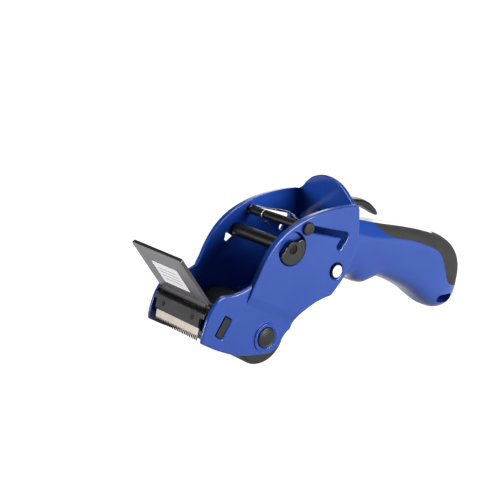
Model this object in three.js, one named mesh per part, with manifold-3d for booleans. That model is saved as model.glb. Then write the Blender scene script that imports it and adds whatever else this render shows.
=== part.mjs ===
// Tape gun dispenser: two-half plastic body, applicator roller, toothed blade, hinged flap,
// sliding core rod, turning tension rod and thumb brake.
// Millimetres. +X runs from the nose to the handle, +Y to the right side, +Z up.
// The design is laid out about the applicator roller's axis, and the finished group is shifted
// so that its origin is the middle of the bounding box, at floor level.
import * as THREE from "three";
import { mergeVertices } from "three/addons/utils/BufferGeometryUtils.js";
import Module from "manifold-3d";

const wasm = await Module();
wasm.setup();

// ---- driving dimensions: points are (x, z), "half" sizes are measured from y = 0 ------
const NOSE_Y = 28.8; // outer face of the nose plates
const NOSE_IN = 26.2; // inner face of the nose plates
const DRUM_Y = 30.3; // outer face of the drum plates
const OUTSIDE = 34; // a distance beyond every side face, where cuts end
const SPLIT = 0.15; // half of the joint gap between the body halves
const GAP = 0.3; // clearance between neighbouring pieces
const ROLLER_AXIS = [0, 0];
const ROLLER_R = 19;
const ROLLER_HALF = 24.6;
const AXLE_R = 3;
const CRADLE_C = [22.5, 63.6]; // centre of the tape roll
const CRADLE_R = 49.2; // inner radius of the cradle
const CRADLE_T = 2.4; // cradle wall thickness
const CORE_ROD = [28.8, 66.0]; // core rod axis at rest
const SLOT_DIR = -15.7; // slope of the straight run of the slot, degrees
const SLOT_W = 4.2;
const SLOT_RUN = 34.6; // length of the straight run
const SLOT_HOOK = 8.6; // length of the hooked end
const TENSION_ROD = [17.2, 54.5]; // tension rod axis
const TENSION_R = 2;
const TENSION_BORE_R = TENSION_R + GAP;
const TENSION_HOLE_R = 10.8; // round opening in both plates
const CUP_FLOOR = 27.3; // floor of the cup round each end of the tension rod
const PLUG = [55.4, 34.2]; // side plug centre
const FLAP_PIN = [-39.68, 25.54]; // flap hinge axis
const FLAP_PIN_R = 1.25;
const FLAP_KNUCKLE_HALF = 22; // half length of the flap's hinge barrel
const FLAP_CLEAR_R = 3.3; // clearance round the hinge axis
const LEVER_PIN = [79.2, 68.6]; // thumb lever axis
const LEVER_PIN_R = 1.45;
const HOLDER_TAB = [-33.35, 12.8]; // centre of the blade holder's side tabs
const HOLDER_TAB_DIR = 55.7; // slope of the tabs, degrees
const FLOOR_Z = -19; // the object rests on the roller and the handle's end
const ORIGIN_X = 67.784; // middle of the length in the roller's frame

// ---- solids -------------------------------------------------------------------------
function manifoldOf(positions, triangles) {
  const mesh = new wasm.Mesh({
    numProp: 3,
    vertProperties: new Float32Array(positions),
    triVerts: triangles,
  });
  return new wasm.Manifold(mesh);
}

// closed geometry as a manifold, turned outside out if its faces point inwards
function solid(geometry) {
  const bare = geometry.index ? geometry.toNonIndexed() : geometry.clone();
  for (const name of Object.keys(bare.attributes)) {
    if (name !== "position") bare.deleteAttribute(name);
  }
  const merged = mergeVertices(bare, 1e-4);
  const positions = merged.attributes.position.array;
  const triangles = new Uint32Array(merged.index.array);
  const made = manifoldOf(positions, triangles);
  if (made.volume() >= 0) return made;
  for (let i = 0; i < triangles.length; i += 3) {
    [triangles[i + 1], triangles[i + 2]] = [triangles[i + 2], triangles[i + 1]];
  }
  return manifoldOf(positions, triangles);
}

function geometryOf(manifold) {
  const mesh = manifold.getMesh();
  const geometry = new THREE.BufferGeometry();
  const positions = new Float32Array(mesh.vertProperties);
  geometry.setAttribute("position", new THREE.BufferAttribute(positions, 3));
  geometry.setIndex(new THREE.BufferAttribute(new Uint32Array(mesh.triVerts), 1));
  const flat = geometry.toNonIndexed();
  flat.computeVertexNormals();
  return flat;
}

const join = (...list) => list.reduce((sum, part) => sum.add(part));
const cut = (whole, ...list) => list.reduce((rest, part) => rest.subtract(part), whole);

const shapeOf = (points) => new THREE.Shape(points.map(([x, y]) => new THREE.Vector2(x, y)));
const extrude = (points, depth) =>
  new THREE.ExtrudeGeometry(shapeOf(points), { depth, bevelEnabled: false });

// prism of an (x, z) outline between two values of y
function prism(points, y0, y1) {
  const geometry = extrude(points, y1 - y0);
  geometry.rotateX(Math.PI / 2);
  geometry.translate(0, y1, 0);
  return solid(geometry);
}

// geometry and solid of a (y, z) outline extruded between two values of x
function geometryX(points, x0, x1) {
  const geometry = extrude(points, x1 - x0);
  geometry.rotateX(Math.PI / 2);
  geometry.rotateZ(Math.PI / 2);
  return geometry.translate(x0, 0, 0);
}
const prismX = (points, x0, x1) => solid(geometryX(points, x0, x1));

// prism of an (x, y) outline between two values of z
const prismZ = (points, z0, z1) => solid(extrude(points, z1 - z0).translate(0, 0, z0));

// prism whose outline lies on the first two of three axes and is extruded along the third
function prismOn(axes, origin, points, depth) {
  const matrix = new THREE.Matrix4().makeBasis(...axes);
  matrix.setPosition(origin);
  return solid(extrude(points, depth).applyMatrix4(matrix));
}

function box(x0, x1, y0, y1, z0, z1) {
  const geometry = new THREE.BoxGeometry(x1 - x0, y1 - y0, z1 - z0);
  geometry.translate((x0 + x1) / 2, (y0 + y1) / 2, (z0 + z1) / 2);
  return solid(geometry);
}

// cylinder along Y
function disc([x, z], radius, y0, y1, segments) {
  const geometry = new THREE.CylinderGeometry(radius, radius, y1 - y0, segments);
  geometry.translate(x, (y0 + y1) / 2, z);
  return solid(geometry);
}

// solid of revolution about an axis along Y; the (radius, y) profile starts and ends on the axis
function revolved([x, z], profile, segments) {
  const points = profile.map(([radius, y]) => new THREE.Vector2(radius, y));
  return solid(new THREE.LatheGeometry(points, segments).translate(x, 0, z));
}
// the same with a profile that closes on itself
const turned = (axis, profile, segments) => revolved(axis, [...profile, profile[0]], segments);
const tube = (axis, inner, outer, y0, y1, segments) =>
  turned(axis, [[inner, y0], [outer, y0], [outer, y1], [inner, y1]], segments);

// round wire swept along a smooth curve through points
function wire(points, { radius, sides, steps }) {
  const section = shapeOf(arc([0, 0], radius, 0, 360, sides).slice(0, -1));
  section.closePath();
  const extrudePath = new THREE.CatmullRomCurve3(points);
  return solid(new THREE.ExtrudeGeometry(section, { steps, bevelEnabled: false, extrudePath }));
}

// ---- outline helpers, angles in degrees ---------------------------------------------
const rad = (degrees) => (degrees * Math.PI) / 180;
const polar = ([x, z], radius, degrees) => [
  x + radius * Math.cos(rad(degrees)),
  z + radius * Math.sin(rad(degrees)),
];
function arc(centre, radius, from, to, steps) {
  return Array.from({ length: steps + 1 }, (_, i) =>
    polar(centre, radius, from + ((to - from) * i) / steps),
  );
}
// turns points about (0, 0), then moves them to a centre
function place(points, [centreX, centreZ], degrees = 0) {
  const cos = Math.cos(rad(degrees));
  const sin = Math.sin(rad(degrees));
  return points.map(([x, z]) => [centreX + x * cos - z * sin, centreZ + x * sin + z * cos]);
}
const rectangle = (x0, x1, halfZ) => [[x0, -halfZ], [x1, -halfZ], [x1, halfZ], [x0, halfZ]];
// stadium outline of a slot
function stadium(start, end, width) {
  const slope = (Math.atan2(end[1] - start[1], end[0] - start[0]) * 180) / Math.PI;
  return [
    ...arc(end, width / 2, slope - 90, slope + 90, 6),
    ...arc(start, width / 2, slope + 90, slope + 270, 6),
  ];
}

// ---- side plates --------------------------------------------------------------------
// outlines (x, z); front and top of the nose
const NOSE_EDGE = [
  [-49.3, 5.6], [-49.1, 8.2], [-48.9, 10.2], [-48.3, 12.3], [-47.4, 14.6], [-46.6, 16.9],
  [-45.9, 19.3], [-44.8, 21.6], [-43.5, 23.9], [-41.9, 26.0], [-40.2, 28.2], [-38.6, 30.3],
  [-37.0, 31.9], [-34.6, 32.8], [-31.5, 32.5], [-28.5, 32.1], [-25.5, 32.1], [-22.4, 32.5],
  [-19.4, 33.1], [-16.3, 33.9], [-13.5, 35.1],
];
// top, rear and underside of the drum
const DRUM_EDGE = [
  [-11.0, 37.6], [-9.3, 40.0], [-8.2, 42.7], [-6.7, 45.6], [-5.0, 48.5], [-3.1, 51.4],
  [-1.0, 54.2], [1.4, 57.0], [4.1, 59.7], [7.3, 62.4], [11.0, 65.0], [14.6, 67.0],
  [19.8, 69.3], [26.1, 71.6], [32.6, 73.4], [39.2, 74.5], [45.8, 75.3], [52.6, 75.8],
  [59.4, 76.1], [64.7, 76.0], [69.6, 75.7], [72.4, 74.4], [73.3, 72.0], [73.5, 68.8],
  [74.0, 56.0], [72.9, 48.9], [70.3, 41.2], [66.4, 33.8], [62.3, 27.9], [57.6, 23.1],
  [54.4, 20.0], [52.3, 18.2], [46.8, 17.6], [39.2, 15.8], [31.8, 12.8], [25.3, 9.7], [22.2, 7.2],
];
// underside of the nose
const NOSE_LOW = [
  [21.1, 3.6], [19.9, 1.2], [17.6, 0.2], [15.6, -1.6], [13.9, -3.8], [11.6, -6.9], [8.8, -9.6],
  [5.4, -11.2], [1.4, -11.5], [-2.5, -10.9], [-12.1, -9.7], [-21.6, -7.8], [-29.4, -4.8],
  [-38.7, -0.5], [-45.5, 3.4],
];
// front edge of the raised drum area, from the chin up to the notch
const DRUM_FRONT = [
  [21.9, 5.6], [15.0, 7.4], [4.0, 9.6], [-6.0, 13.0], [-12.6, 18.0], [-16.4, 23.0],
  [-16.2, 26.2], [-15.1, 28.6], [-14.2, 31.0], [-12.9, 33.8], [-11.9, 36.0],
];
const PLATE = [...NOSE_EDGE, ...DRUM_EDGE, ...NOSE_LOW];
const DRUM = [...DRUM_FRONT, ...DRUM_EDGE];
// sight window in the floor of the right cup, (x, z) about the tension rod
const CUP_WINDOW = [[-7.6, -0.9], [-2.2, -4.9], [-7.0, -7.8], [-8.9, -6.1]];

// line along which the raised drum area runs out into the nose
const FADE_AT = [-17.5, 24.0];
const FADE_DIR = -26; // degrees
const FADE_RUN = 7; // distance over which the full height is reached
const FADE_BACK = 60; // the wedge starts this far before FADE_AT
const FADE_LENGTH = 160;

// wedge that takes the right drum plate's raised face down to the nose's level
function fadeWedge() {
  const along = new THREE.Vector3(Math.cos(rad(FADE_DIR)), 0, Math.sin(rad(FADE_DIR)));
  const away = new THREE.Vector3(-along.z, 0, along.x);
  const outward = new THREE.Vector3(0, 1, 0);
  const origin = new THREE.Vector3(FADE_AT[0], 0, FADE_AT[1]);
  origin.addScaledVector(along, -FADE_BACK);
  // distance away from the line, y
  const section = [[-60, NOSE_Y], [0, NOSE_Y], [FADE_RUN, DRUM_Y], [FADE_RUN, 33], [-60, 33]];
  return prismOn([away, outward, along], origin, section, FADE_LENGTH);
}

// one side plate; sign is -1 on the left and 1 on the right
function plate(sign) {
  const between = (near, far) => (sign < 0 ? [-far, -near] : [near, far]);
  const through = between(20, OUTSIDE);
  const fade = sign < 0 ? fadeWedge().mirror([0, 1, 0]) : fadeWedge();
  const slotStart = polar(CORE_ROD, -1.2, SLOT_DIR);
  const slotEnd = polar(CORE_ROD, SLOT_RUN, SLOT_DIR);
  const slotHook = polar(slotEnd, SLOT_HOOK, SLOT_DIR - 112);
  const tabHole = place(rectangle(-6.7, 6.7, 2.95), HOLDER_TAB, HOLDER_TAB_DIR);
  const made = cut(
    join(
      prism(PLATE, ...between(NOSE_IN, NOSE_Y)),
      prism(DRUM, ...between(NOSE_IN, DRUM_Y)).subtract(fade),
      disc(ROLLER_AXIS, 9.2, ...between(NOSE_Y - 0.5, NOSE_Y + 0.9), 28), // axle cap ring
      disc(ROLLER_AXIS, 6, ...between(ROLLER_HALF + 0.5, NOSE_IN + 0.4), 24), // inner boss
    ),
    disc(ROLLER_AXIS, AXLE_R + GAP, ...through, 24),
    disc(ROLLER_AXIS, 7.6, ...between(NOSE_Y - 0.9, OUTSIDE), 28), // axle cap recess
    prism(tabHole, ...through),
    disc(TENSION_ROD, TENSION_HOLE_R, ...between(CUP_FLOOR, OUTSIDE), 32),
    disc(TENSION_ROD, TENSION_BORE_R, ...through, 20),
    prism(stadium(slotStart, slotEnd, SLOT_W), ...through),
    prism(stadium(slotEnd, slotHook, SLOT_W), ...through),
    disc(PLUG, 5.4, ...through, 20),
  );
  return sign < 0 ? made : cut(made, prism(place(CUP_WINDOW, TENSION_ROD), 20, 29));
}

// ---- cradle and rear wall -----------------------------------------------------------
const BAND_HALF = 29.5;
const ARCH_FOOT = 75.7; // height at which the arch begins
const ARCH_TOP = 88.9;
// half of the arch above the rear wall (y, z)
const ARCH = [
  [25.6, 75.9], [24.4, 76.6], [22.8, 78.0], [20.8, 80.2], [18.7, 82.1], [15.1, 84.8],
  [12.9, 86.0], [9.8, 87.2], [6.4, 88.2], [3.0, 88.75],
];

function cradleWall() {
  const band = [
    ...arc(CRADLE_C, CRADLE_R, -97, -7, 30),
    [71.3, 68.0], [70.3, 92], [72.7, 92], [73.7, 68.0],
    ...arc(CRADLE_C, CRADLE_R + CRADLE_T, -7, -97, 30),
  ];
  const aboveArch = [
    [40, 100], [-40, 100], [-40, ARCH_FOOT], [-BAND_HALF, ARCH_FOOT],
    ...ARCH.map(([y, z]) => [-y, z]),
    [0, ARCH_TOP],
    ...[...ARCH].reverse(),
    [BAND_HALF, ARCH_FOOT], [40, ARCH_FOOT],
  ];
  // keeps the wall's upper corners inside the plates' outline
  const drum = prism(DRUM, -DRUM_Y, DRUM_Y);
  const corners = join(
    box(60, 80, -40, -26, 70, 77).subtract(drum),
    box(60, 80, 26, 40, 70, 77).subtract(drum),
  );
  return cut(prism(band, -BAND_HALF, BAND_HALF), prismX(aboveArch, 60, 80), corners);
}

// ---- handle -------------------------------------------------------------------------
// stations along the handle: top x, z, bottom x, z, half width
const HANDLE = [
  [64, 65.4, 64, 24, 15.4], [74, 63.8, 72, 22, 15.2], [82, 61.9, 80, 20.4, 15],
  [90, 60, 88, 18.6, 15], [97, 58.3, 94, 14.4, 15], [103.6, 56.6, 100.5, 12.3, 15],
  [113, 54.1, 107, 13.4, 15], [123, 51.6, 113, 14.4, 15], [131, 49.8, 119, 13.2, 15],
  [138, 48.1, 126, 10.3, 15], [146, 46.0, 133.5, 6.8, 15], [153.5, 43.9, 141, 2.9, 15],
  [161.5, 41.4, 149, -1.7, 15], [169.4, 38.7, 156, -6.9, 15], [175, 36.6, 163, -12.3, 15],
  [180, 34.2, 169, -16.4, 14.9], [185, 31.2, 174.5, -18.9, 14.7], [189, 28.2, 179, -19.8, 14.3],
  [192.5, 24.6, 183, -19.9, 13.7], [195, 21, 187, -19.4, 12.8], [196.9, 17, 190.5, -17.8, 11.6],
  [198.3, 12.4, 193.5, -15.4, 10], [199, 8, 195.6, -12.2, 8], [199.4, 4.4, 197, -8.4, 5.6],
  [199.6, 1.6, 198.6, -3.6, 2.6],
];
const SECTION_POWER = 3.4; // exponent of the superellipse section
const SKIN = 2.2; // depth of the grip and inlay grooves
// groove for the rubber grip (x, z)
const GRIP_GROOVE = [
  [104.6, 58], [106.9, 54.7], [109.6, 51.4], [113.1, 48.6], [116, 46.0], [119.3, 44.2],
  [124, 42.4], [129.3, 41.0], [139.4, 38.3], [149.8, 34.8], [160.4, 30.6], [168.1, 26.6],
  [172.4, 22.3], [175.5, 16.9], [177.9, 10.5], [180.3, 4.1], [182.9, -0.1], [187.4, -2.4],
  [193.0, -3.9], [204, -5.4], [206, 60], [104.6, 62],
];
// the rubber grip (x, z), which stops short of the groove's edge
const GRIP = [
  [105.0, 58.2], [107.4, 54.8], [110.1, 51.6], [113.5, 48.9], [116.3, 46.4], [119.5, 44.55],
  [124.1, 42.8], [129.4, 41.35], [139.5, 38.65], [149.95, 35.15], [160.55, 30.95], [168.35, 26.9],
  [172.75, 22.5], [175.9, 17.0], [178.3, 10.6], [180.7, 4.25], [183.1, 0.15], [187.5, -2.05],
  [193.05, -3.55], [204, -5.05], [206, 60], [105, 62],
];
const INLAY_HALF = 8.4; // half width of the top inlay's groove
const inlayZone = (rear) => [[88, 70], [88, 50], [rear, 30], [rear, 60]];

const BOSSES = [[86, 50], [88, 28], [136, 26], [168, 3]]; // screw bosses (x, z)
const HANG_FRONT = [176.6, -11.2]; // arc centres of the hanging hole's two ends
const HANG_REAR = [185.4, -12.6];

// handle solid drawn in by an inset on all sides
function handleLoft(inset, segments) {
  const last = HANDLE.length - 1;
  const geometry = new THREE.CylinderGeometry(1, 1, 1, segments, last);
  const position = geometry.attributes.position;
  const squared = (value) => Math.sign(value) * Math.abs(value) ** (2 / SECTION_POWER);
  for (let i = 0; i < position.count; i++) {
    const station = Math.round((0.5 - position.getY(i)) * last);
    const [topX, topZ, bottomX, bottomZ, fullWidth] = HANDLE[station];
    const height = Math.hypot(topX - bottomX, topZ - bottomZ);
    const width = Math.max(fullWidth - inset, 0.6);
    const across = position.getX(i);
    const up = position.getZ(i);
    const radius = Math.hypot(across, up); // 0 at the middle of an end cap, otherwise 1
    const cos = radius ? across / radius : 0;
    const sin = radius ? up / radius : 0;
    const along = radius * squared(sin) * (height / 2 - inset);
    position.setXYZ(
      i,
      (topX + bottomX) / 2 + ((topX - bottomX) / height) * along,
      radius * squared(cos) * width,
      (topZ + bottomZ) / 2 + ((topZ - bottomZ) / height) * along,
    );
  }
  const made = solid(geometry);
  // a shifted copy draws in the rear end too
  return inset ? made.intersect(made.translate([-inset * 0.95, 0, inset * 0.1])) : made;
}

// outline between the cradle's outer side and the given upper rear points
const drumInside = (...rear) => [
  ...arc(CRADLE_C, CRADLE_R + CRADLE_T - 0.6, -95, -6.2, 26),
  ...rear,
  [0, 95], [0, 40],
];
const hangOutline = (rearRadius, frontRadius) => [
  ...arc(HANG_REAR, rearRadius, -60, 60, 6),
  ...arc(HANG_FRONT, frontRadius, 110, 250, 6),
];

const handleOuter = handleLoft(0, 20);
const handleCore = handleLoft(SKIN, 16); // bottom of the grooves
const handleCoreClear = handleLoft(SKIN - GAP, 16); // underside of the grip and inlay
const inlayGroove = prism(inlayZone(171), -INLAY_HALF, INLAY_HALF);

function handleShell() {
  const drumSpace = prism(drumInside([73.2, 68], [72.2, 95]), -40, 40);
  const keptWall = prism(drumInside([74.6, 70], [74.6, 95]), -40, 40);
  return cut(
    join(
      cut(handleOuter, prism(GRIP_GROOVE, -20, 20), inlayGroove, drumSpace),
      cut(handleCore, drumSpace),
    ),
    handleLoft(4.6, 12).subtract(keptWall),
  );
}

// ---- body ---------------------------------------------------------------------------
const EAR_HALF = 11; // outer face of the lever pin's ears
const EAR_IN = 7.6; // inner face of the ears
const LEVER_ROOM = 7.2; // half width of the openings for the lever

const ear = (y0, y1) => {
  const rounded = arc(LEVER_PIN, 3.4, 30, 150, 8);
  return prism([[73.0, 60], [85.6, 58.4], [82.6, 70.4], ...rounded, [73.0, 72]], y0, y1);
};

function bodySolid() {
  const bosses = join(...BOSSES.map((centre) => disc(centre, 3.9, -13.4, 13.4, 18)));
  return cut(
    join(
      plate(-1),
      plate(1),
      cradleWall(),
      handleShell(),
      bosses.intersect(handleCore),
      prism(hangOutline(6.8, 5.8), -14, 14).intersect(handleCore), // wall of the hanging hole
      ear(-EAR_HALF, -EAR_IN),
      ear(EAR_IN, EAR_HALF),
    ),
    prism(hangOutline(4.4, 3.2), -20, 20),
    disc(LEVER_PIN, 1.7, -9.6, 9.6, 16), // blind seats of the lever pin
    box(60, 73.8, -LEVER_ROOM, LEVER_ROOM, 57.0, 64.9), // window for the brake arm
    box(73.75, 80, -LEVER_ROOM, LEVER_ROOM, 57.2, 74.4), // room for the lever behind the wall
    box(74.4, 96, -LEVER_ROOM, LEVER_ROOM, 62.6, 66.5), // recess under the lever
    box(150, 220, -30, 30, -40, FLOOR_Z), // flat under the end of the handle
    ...BOSSES.map((centre) => disc(centre, 1.7, -9.5, 20, 14)), // screw shank
    ...BOSSES.map((centre) => disc(centre, 3.3, 9.6, 20, 18)), // screw head
  );
}

// left and right parts of a solid, with the joint gap between them
const halves = (whole) => [
  whole.intersect(box(-80, 230, -50, -SPLIT, -40, 120)),
  whole.intersect(box(-80, 230, SPLIT, 50, -40, 120)),
];
const [leftBody, rightBody] = halves(bodySolid());
const [leftGrip, rightGrip] = halves(
  cut(handleOuter.intersect(prism(GRIP, -20, 20)), handleCoreClear, inlayGroove),
);
const inlay = handleOuter
  .intersect(prism(inlayZone(170.6), -INLAY_HALF + GAP, INLAY_HALF - GAP))
  .subtract(handleCoreClear);

const screw = (centre) => join(disc(centre, 1.4, -9.0, 11.2, 12), disc(centre, 2.9, 9.9, 11.7, 18));

// ---- blade and its holder -----------------------------------------------------------
const HOLDER_HALF = NOSE_IN - GAP;
const HOLDER = [
  [-45.6, 22.9], [-46.9, 18.0], [-47.6, 14.6], [-46.6, 12.6], [-43.2, 8.4], [-37.6, 4.4],
  [-34.0, 5.6], [-27.0, 15.6], [-27.6, 18.6], [-33.5, 21.4], [-38.0, 22.6], [-41.0, 23.4],
]; // (x, z)
const BLADE_T = 0.7;
const BLADE_C = [-45.9, 14.8]; // origin of the blade's own frame
const BLADE_DIR = (Math.atan2(22.6 - 7.0, -44.4 + 47.4) * 180) / Math.PI; // slope from +X
const BLADE_TURN = -rad(BLADE_DIR - 90); // rotation about Y that leans an upright blade
const BLADE_HALF = 21.8;
const BLADE_TOP = 7.6; // heights in the blade's own frame
const TOOTH_ROOT = -6.6;
const TOOTH_TIP = -9.5;
const TEETH = 25; // teeth along the blade
const RIVET_C = [-44.3, 17.9]; // (x, z)
const RIVET_Y = 15; // distance of each rivet from the middle
const RIVET_R = 1.3;

// cylinder square to the blade
function rivet(y, radius = RIVET_R, length = 5.4) {
  const geometry = new THREE.CylinderGeometry(radius, radius, length, 14);
  geometry.rotateZ(Math.PI / 2);
  geometry.rotateY(BLADE_TURN);
  geometry.translate(RIVET_C[0], y, RIVET_C[1]);
  return solid(geometry);
}
const rivetHoles = [-RIVET_Y, RIVET_Y].map((y) => rivet(y, RIVET_R + GAP, 5.8));

function bladeHolder() {
  const pinEar = (y0, y1) =>
    prism([[-36.7, 20.4], ...arc(FLAP_PIN, 2.6, -20, 210, 12), [-42.0, 20.4]], y0, y1);
  const earIn = FLAP_KNUCKLE_HALF + GAP;
  const tab = place(rectangle(-6.35, 6.35, 2.55), HOLDER_TAB, HOLDER_TAB_DIR);
  const slot = rectangle(TOOTH_TIP - 0.7, BLADE_TOP + GAP, BLADE_T / 2 + GAP);
  // the lower front ends stand clear of the cheeks
  const corner = [[-50, 0], [-39.4, 0], [-39.4, 19.8], [-50, 19.8]];
  return cut(
    join(
      prism(HOLDER, -HOLDER_HALF, HOLDER_HALF),
      prism(tab, -28.7, 28.7),
      pinEar(-HOLDER_HALF, -earIn),
      pinEar(earIn, HOLDER_HALF),
    ),
    prism(corner, -30, -22.2),
    prism(corner, 22.2, 30),
    prism(place(slot, BLADE_C, BLADE_DIR), -22.4, 22.4),
    disc(FLAP_PIN, FLAP_PIN_R + GAP, -25.6, 25.6, 16),
    disc(FLAP_PIN, FLAP_CLEAR_R, -earIn, earIn, 24),
    ...rivetHoles,
  );
}

function cuttingBlade() {
  const pitch = (2 * BLADE_HALF) / TEETH;
  const outline = [[-BLADE_HALF, BLADE_TOP], [-BLADE_HALF, TOOTH_ROOT]]; // (y, z)
  for (let i = 0; i < TEETH; i++) {
    outline.push([-BLADE_HALF + (i + 0.5) * pitch, TOOTH_TIP]);
    outline.push([-BLADE_HALF + (i + 1) * pitch, TOOTH_ROOT]);
  }
  outline.push([BLADE_HALF, BLADE_TOP]);
  const geometry = geometryX(outline, -BLADE_T / 2, BLADE_T / 2);
  geometry.rotateY(BLADE_TURN);
  geometry.translate(BLADE_C[0], 0, BLADE_C[1]);
  return cut(solid(geometry), ...rivetHoles);
}

// ---- flap, in its own frame: up along +Z from the pin, front face at -X, then leaned --
const FLAP_LEAN = 125; // lean of the flap from +X, degrees
const FLAP_LEN = 41.6; // flap length from the hinge axis
const FLAP_T = 2.4;
const FLAP_FRONT = -FLAP_T / 2 - 0.1;
const FLAP_BACK = FLAP_T / 2 - 0.1;

function tapeFlap() {
  const section = [
    [FLAP_FRONT, 0], [FLAP_FRONT, FLAP_LEN - 1.0], [FLAP_FRONT + 0.7, FLAP_LEN],
    [FLAP_BACK - 0.6, FLAP_LEN], [FLAP_BACK, FLAP_LEN - 0.8], [FLAP_BACK, 0],
  ];
  // waste outside a rounded upper corner: y, height from the flap's end
  const waste = [
    [27, 1], [22, 1], [22.0, 0.2], [23.6, -0.5], [24.5, -1.4], [25.2, -3.2], [27, -3.2],
  ];
  const corner = (sign) => prismX(waste.map(([y, z]) => [sign * y, FLAP_LEN + z]), -5, 5);
  return cut(
    join(prism(section, -25, 25), disc([0, 0], 2.8, -FLAP_KNUCKLE_HALF, FLAP_KNUCKLE_HALF, 24)),
    disc([0, 0], FLAP_PIN_R + 0.25, -30, 30, 16),
    disc([0, 0], FLAP_CLEAR_R, -26, -FLAP_KNUCKLE_HALF, 24),
    disc([0, 0], FLAP_CLEAR_R, FLAP_KNUCKLE_HALF, 26, 24),
    corner(1),
    corner(-1),
  );
}
const flapLabel = box(FLAP_FRONT - 0.4, FLAP_FRONT - 0.1, -12.5, 13.5, 10.0, 28.5);

// ---- applicator roller --------------------------------------------------------------
const TYRE_BORE_R = 12;
const TYRE_CHAMFER = 0.6;
const AXLE_HALF = NOSE_Y - 1.2;

function rollerTyre() {
  const shoulder = ROLLER_R - TYRE_CHAMFER;
  const treadHalf = ROLLER_HALF - TYRE_CHAMFER;
  const profile = [
    [TYRE_BORE_R, -ROLLER_HALF], [shoulder, -ROLLER_HALF], [ROLLER_R, -treadHalf],
    [ROLLER_R, treadHalf], [shoulder, ROLLER_HALF], [TYRE_BORE_R, ROLLER_HALF],
  ];
  return turned(ROLLER_AXIS, profile, 40);
}

// sleeve with a wider bore at each end for the bushes
function rollerCore() {
  const outer = TYRE_BORE_R - GAP;
  const profile = [
    [8.3, -ROLLER_HALF], [outer, -ROLLER_HALF], [outer, ROLLER_HALF], [8.3, ROLLER_HALF],
    [8.3, 16.2], [7.3, 16.2], [7.3, -16.2], [8.3, -16.2],
  ];
  return turned(ROLLER_AXIS, profile, 24);
}

const rollerBush = (sign) =>
  tube(ROLLER_AXIS, AXLE_R + 0.1, 8.0, 16.5 * sign, (ROLLER_HALF - 0.1) * sign, 20);

function axleCap(sign) {
  // radius, distance beyond the nose plate's face
  const profile = [[0, -0.6], [7.1, -0.6], [7.1, 0.7], [6.4, 1.2], [4.0, 1.6], [0, 1.75]];
  return revolved(ROLLER_AXIS, profile.map(([r, y]) => [r, sign * (NOSE_Y + y)]), 24);
}

// ---- core rod -----------------------------------------------------------------------
const CORE_ROD_R = 1.75;
// leaf spring over the sleeve: (y, distance from the rod's axis), with a foot at its right end
const LEAF = [
  [-19.6, 3.3], [-17.6, 3.5], [-14.6, 4.6], [-11.6, 5.7], [-8.4, 6.1], [-4.6, 5.9], [0.4, 5.2],
  [6.4, 4.4], [13.4, 3.8], [20.4, 3.6], [24.5, 3.6],
];
const LEAF_FOOT = [[24.5, 2.1], [25.3, 2.1], [25.3, 4.1]];
const LEAF_T = 0.5;
const LEAF_W = 3.4;
const LEAF_DIR = 62; // side of the rod it lies on, degrees from +X

function coreCap(sign) {
  const bore = CORE_ROD_R + GAP;
  const profile = [
    [0, 31.9], [bore, 31.9], [bore, DRUM_Y + GAP], [4.2, DRUM_Y + GAP],
    [4.2, 31.8], [3.6, 32.4], [0, 32.5],
  ];
  return turned(CORE_ROD, profile.map(([r, y]) => [r, sign * y]), 20);
}

function leafSpring() {
  const outer = LEAF.map(([y, distance]) => [y, distance + LEAF_T]).reverse();
  const radial = new THREE.Vector3(Math.cos(rad(LEAF_DIR)), 0, Math.sin(rad(LEAF_DIR)));
  const lengthwise = new THREE.Vector3(0, 1, 0);
  const sideways = new THREE.Vector3().crossVectors(lengthwise, radial);
  const origin = new THREE.Vector3(CORE_ROD[0], 0, CORE_ROD[1]);
  origin.addScaledVector(sideways, -LEAF_W / 2);
  const outline = [...LEAF, ...LEAF_FOOT, ...outer];
  return prismOn([lengthwise, radial, sideways], origin, outline, LEAF_W);
}

// path of the link wire: x from the core rod, y, z from the core rod
const LINK_PATH = [
  [-1.2, 9.8, 3.5], [-3.4, 9.7, 1.7], [-3.6, 9.6, -1.4],
  [-1.4, 9.5, -3.8], [1.4, 9.5, -5.4], [5.2, 9.5, -10.4],
];
const linkWire = wire(
  LINK_PATH.map(([x, y, z]) => new THREE.Vector3(CORE_ROD[0] + x, y, CORE_ROD[1] + z)),
  { radius: 0.5, sides: 8, steps: 14 },
);

// ---- tension rod --------------------------------------------------------------------
const KNOB_HALF = DRUM_Y + 0.6; // outer face of the knob and the flange
const KNOB_IN = CUP_FLOOR + GAP; // inner face of both
const KNOB_EDGE = [
  [8.4, 5.6], [4.9, 5.0], [4.1, 4.1], [3.3, 5.0], [-0.6, 5.5],
  [-3.6, 3.5], [-6.6, 0.6], [-7.2, -0.8], [-8.2, -1.6],
]; // upper left edge of the knob (x, z) about its axis, from right to left
const FLANGE_EDGE = [[8.4, 5.6], [-0.6, 5.5], [-6.6, 0.6]]; // the flange's, before it is turned
const FLANGE_TURN = 118; // degrees
const knobRim = (steps) => arc([0, 0], TENSION_HOLE_R - 0.5, -159, 27, steps);

const tensionKnob = cut(
  join(
    prism(place([...knobRim(20), ...KNOB_EDGE], TENSION_ROD), -KNOB_HALF, -KNOB_IN),
    disc(TENSION_ROD, 5.2, -31.2, -KNOB_IN, 24),
  ),
  disc(TENSION_ROD, TENSION_BORE_R, -29.2, -26, 16),
  disc(TENSION_ROD, 3.1, -31.5, -30.1, 20), // recess for the knob screw
);
const tensionFlange = cut(
  prism(place([...knobRim(22), ...FLANGE_EDGE], TENSION_ROD, FLANGE_TURN), KNOB_IN, KNOB_HALF),
  disc(TENSION_ROD, TENSION_BORE_R, 26, 29.2, 16),
);

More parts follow.
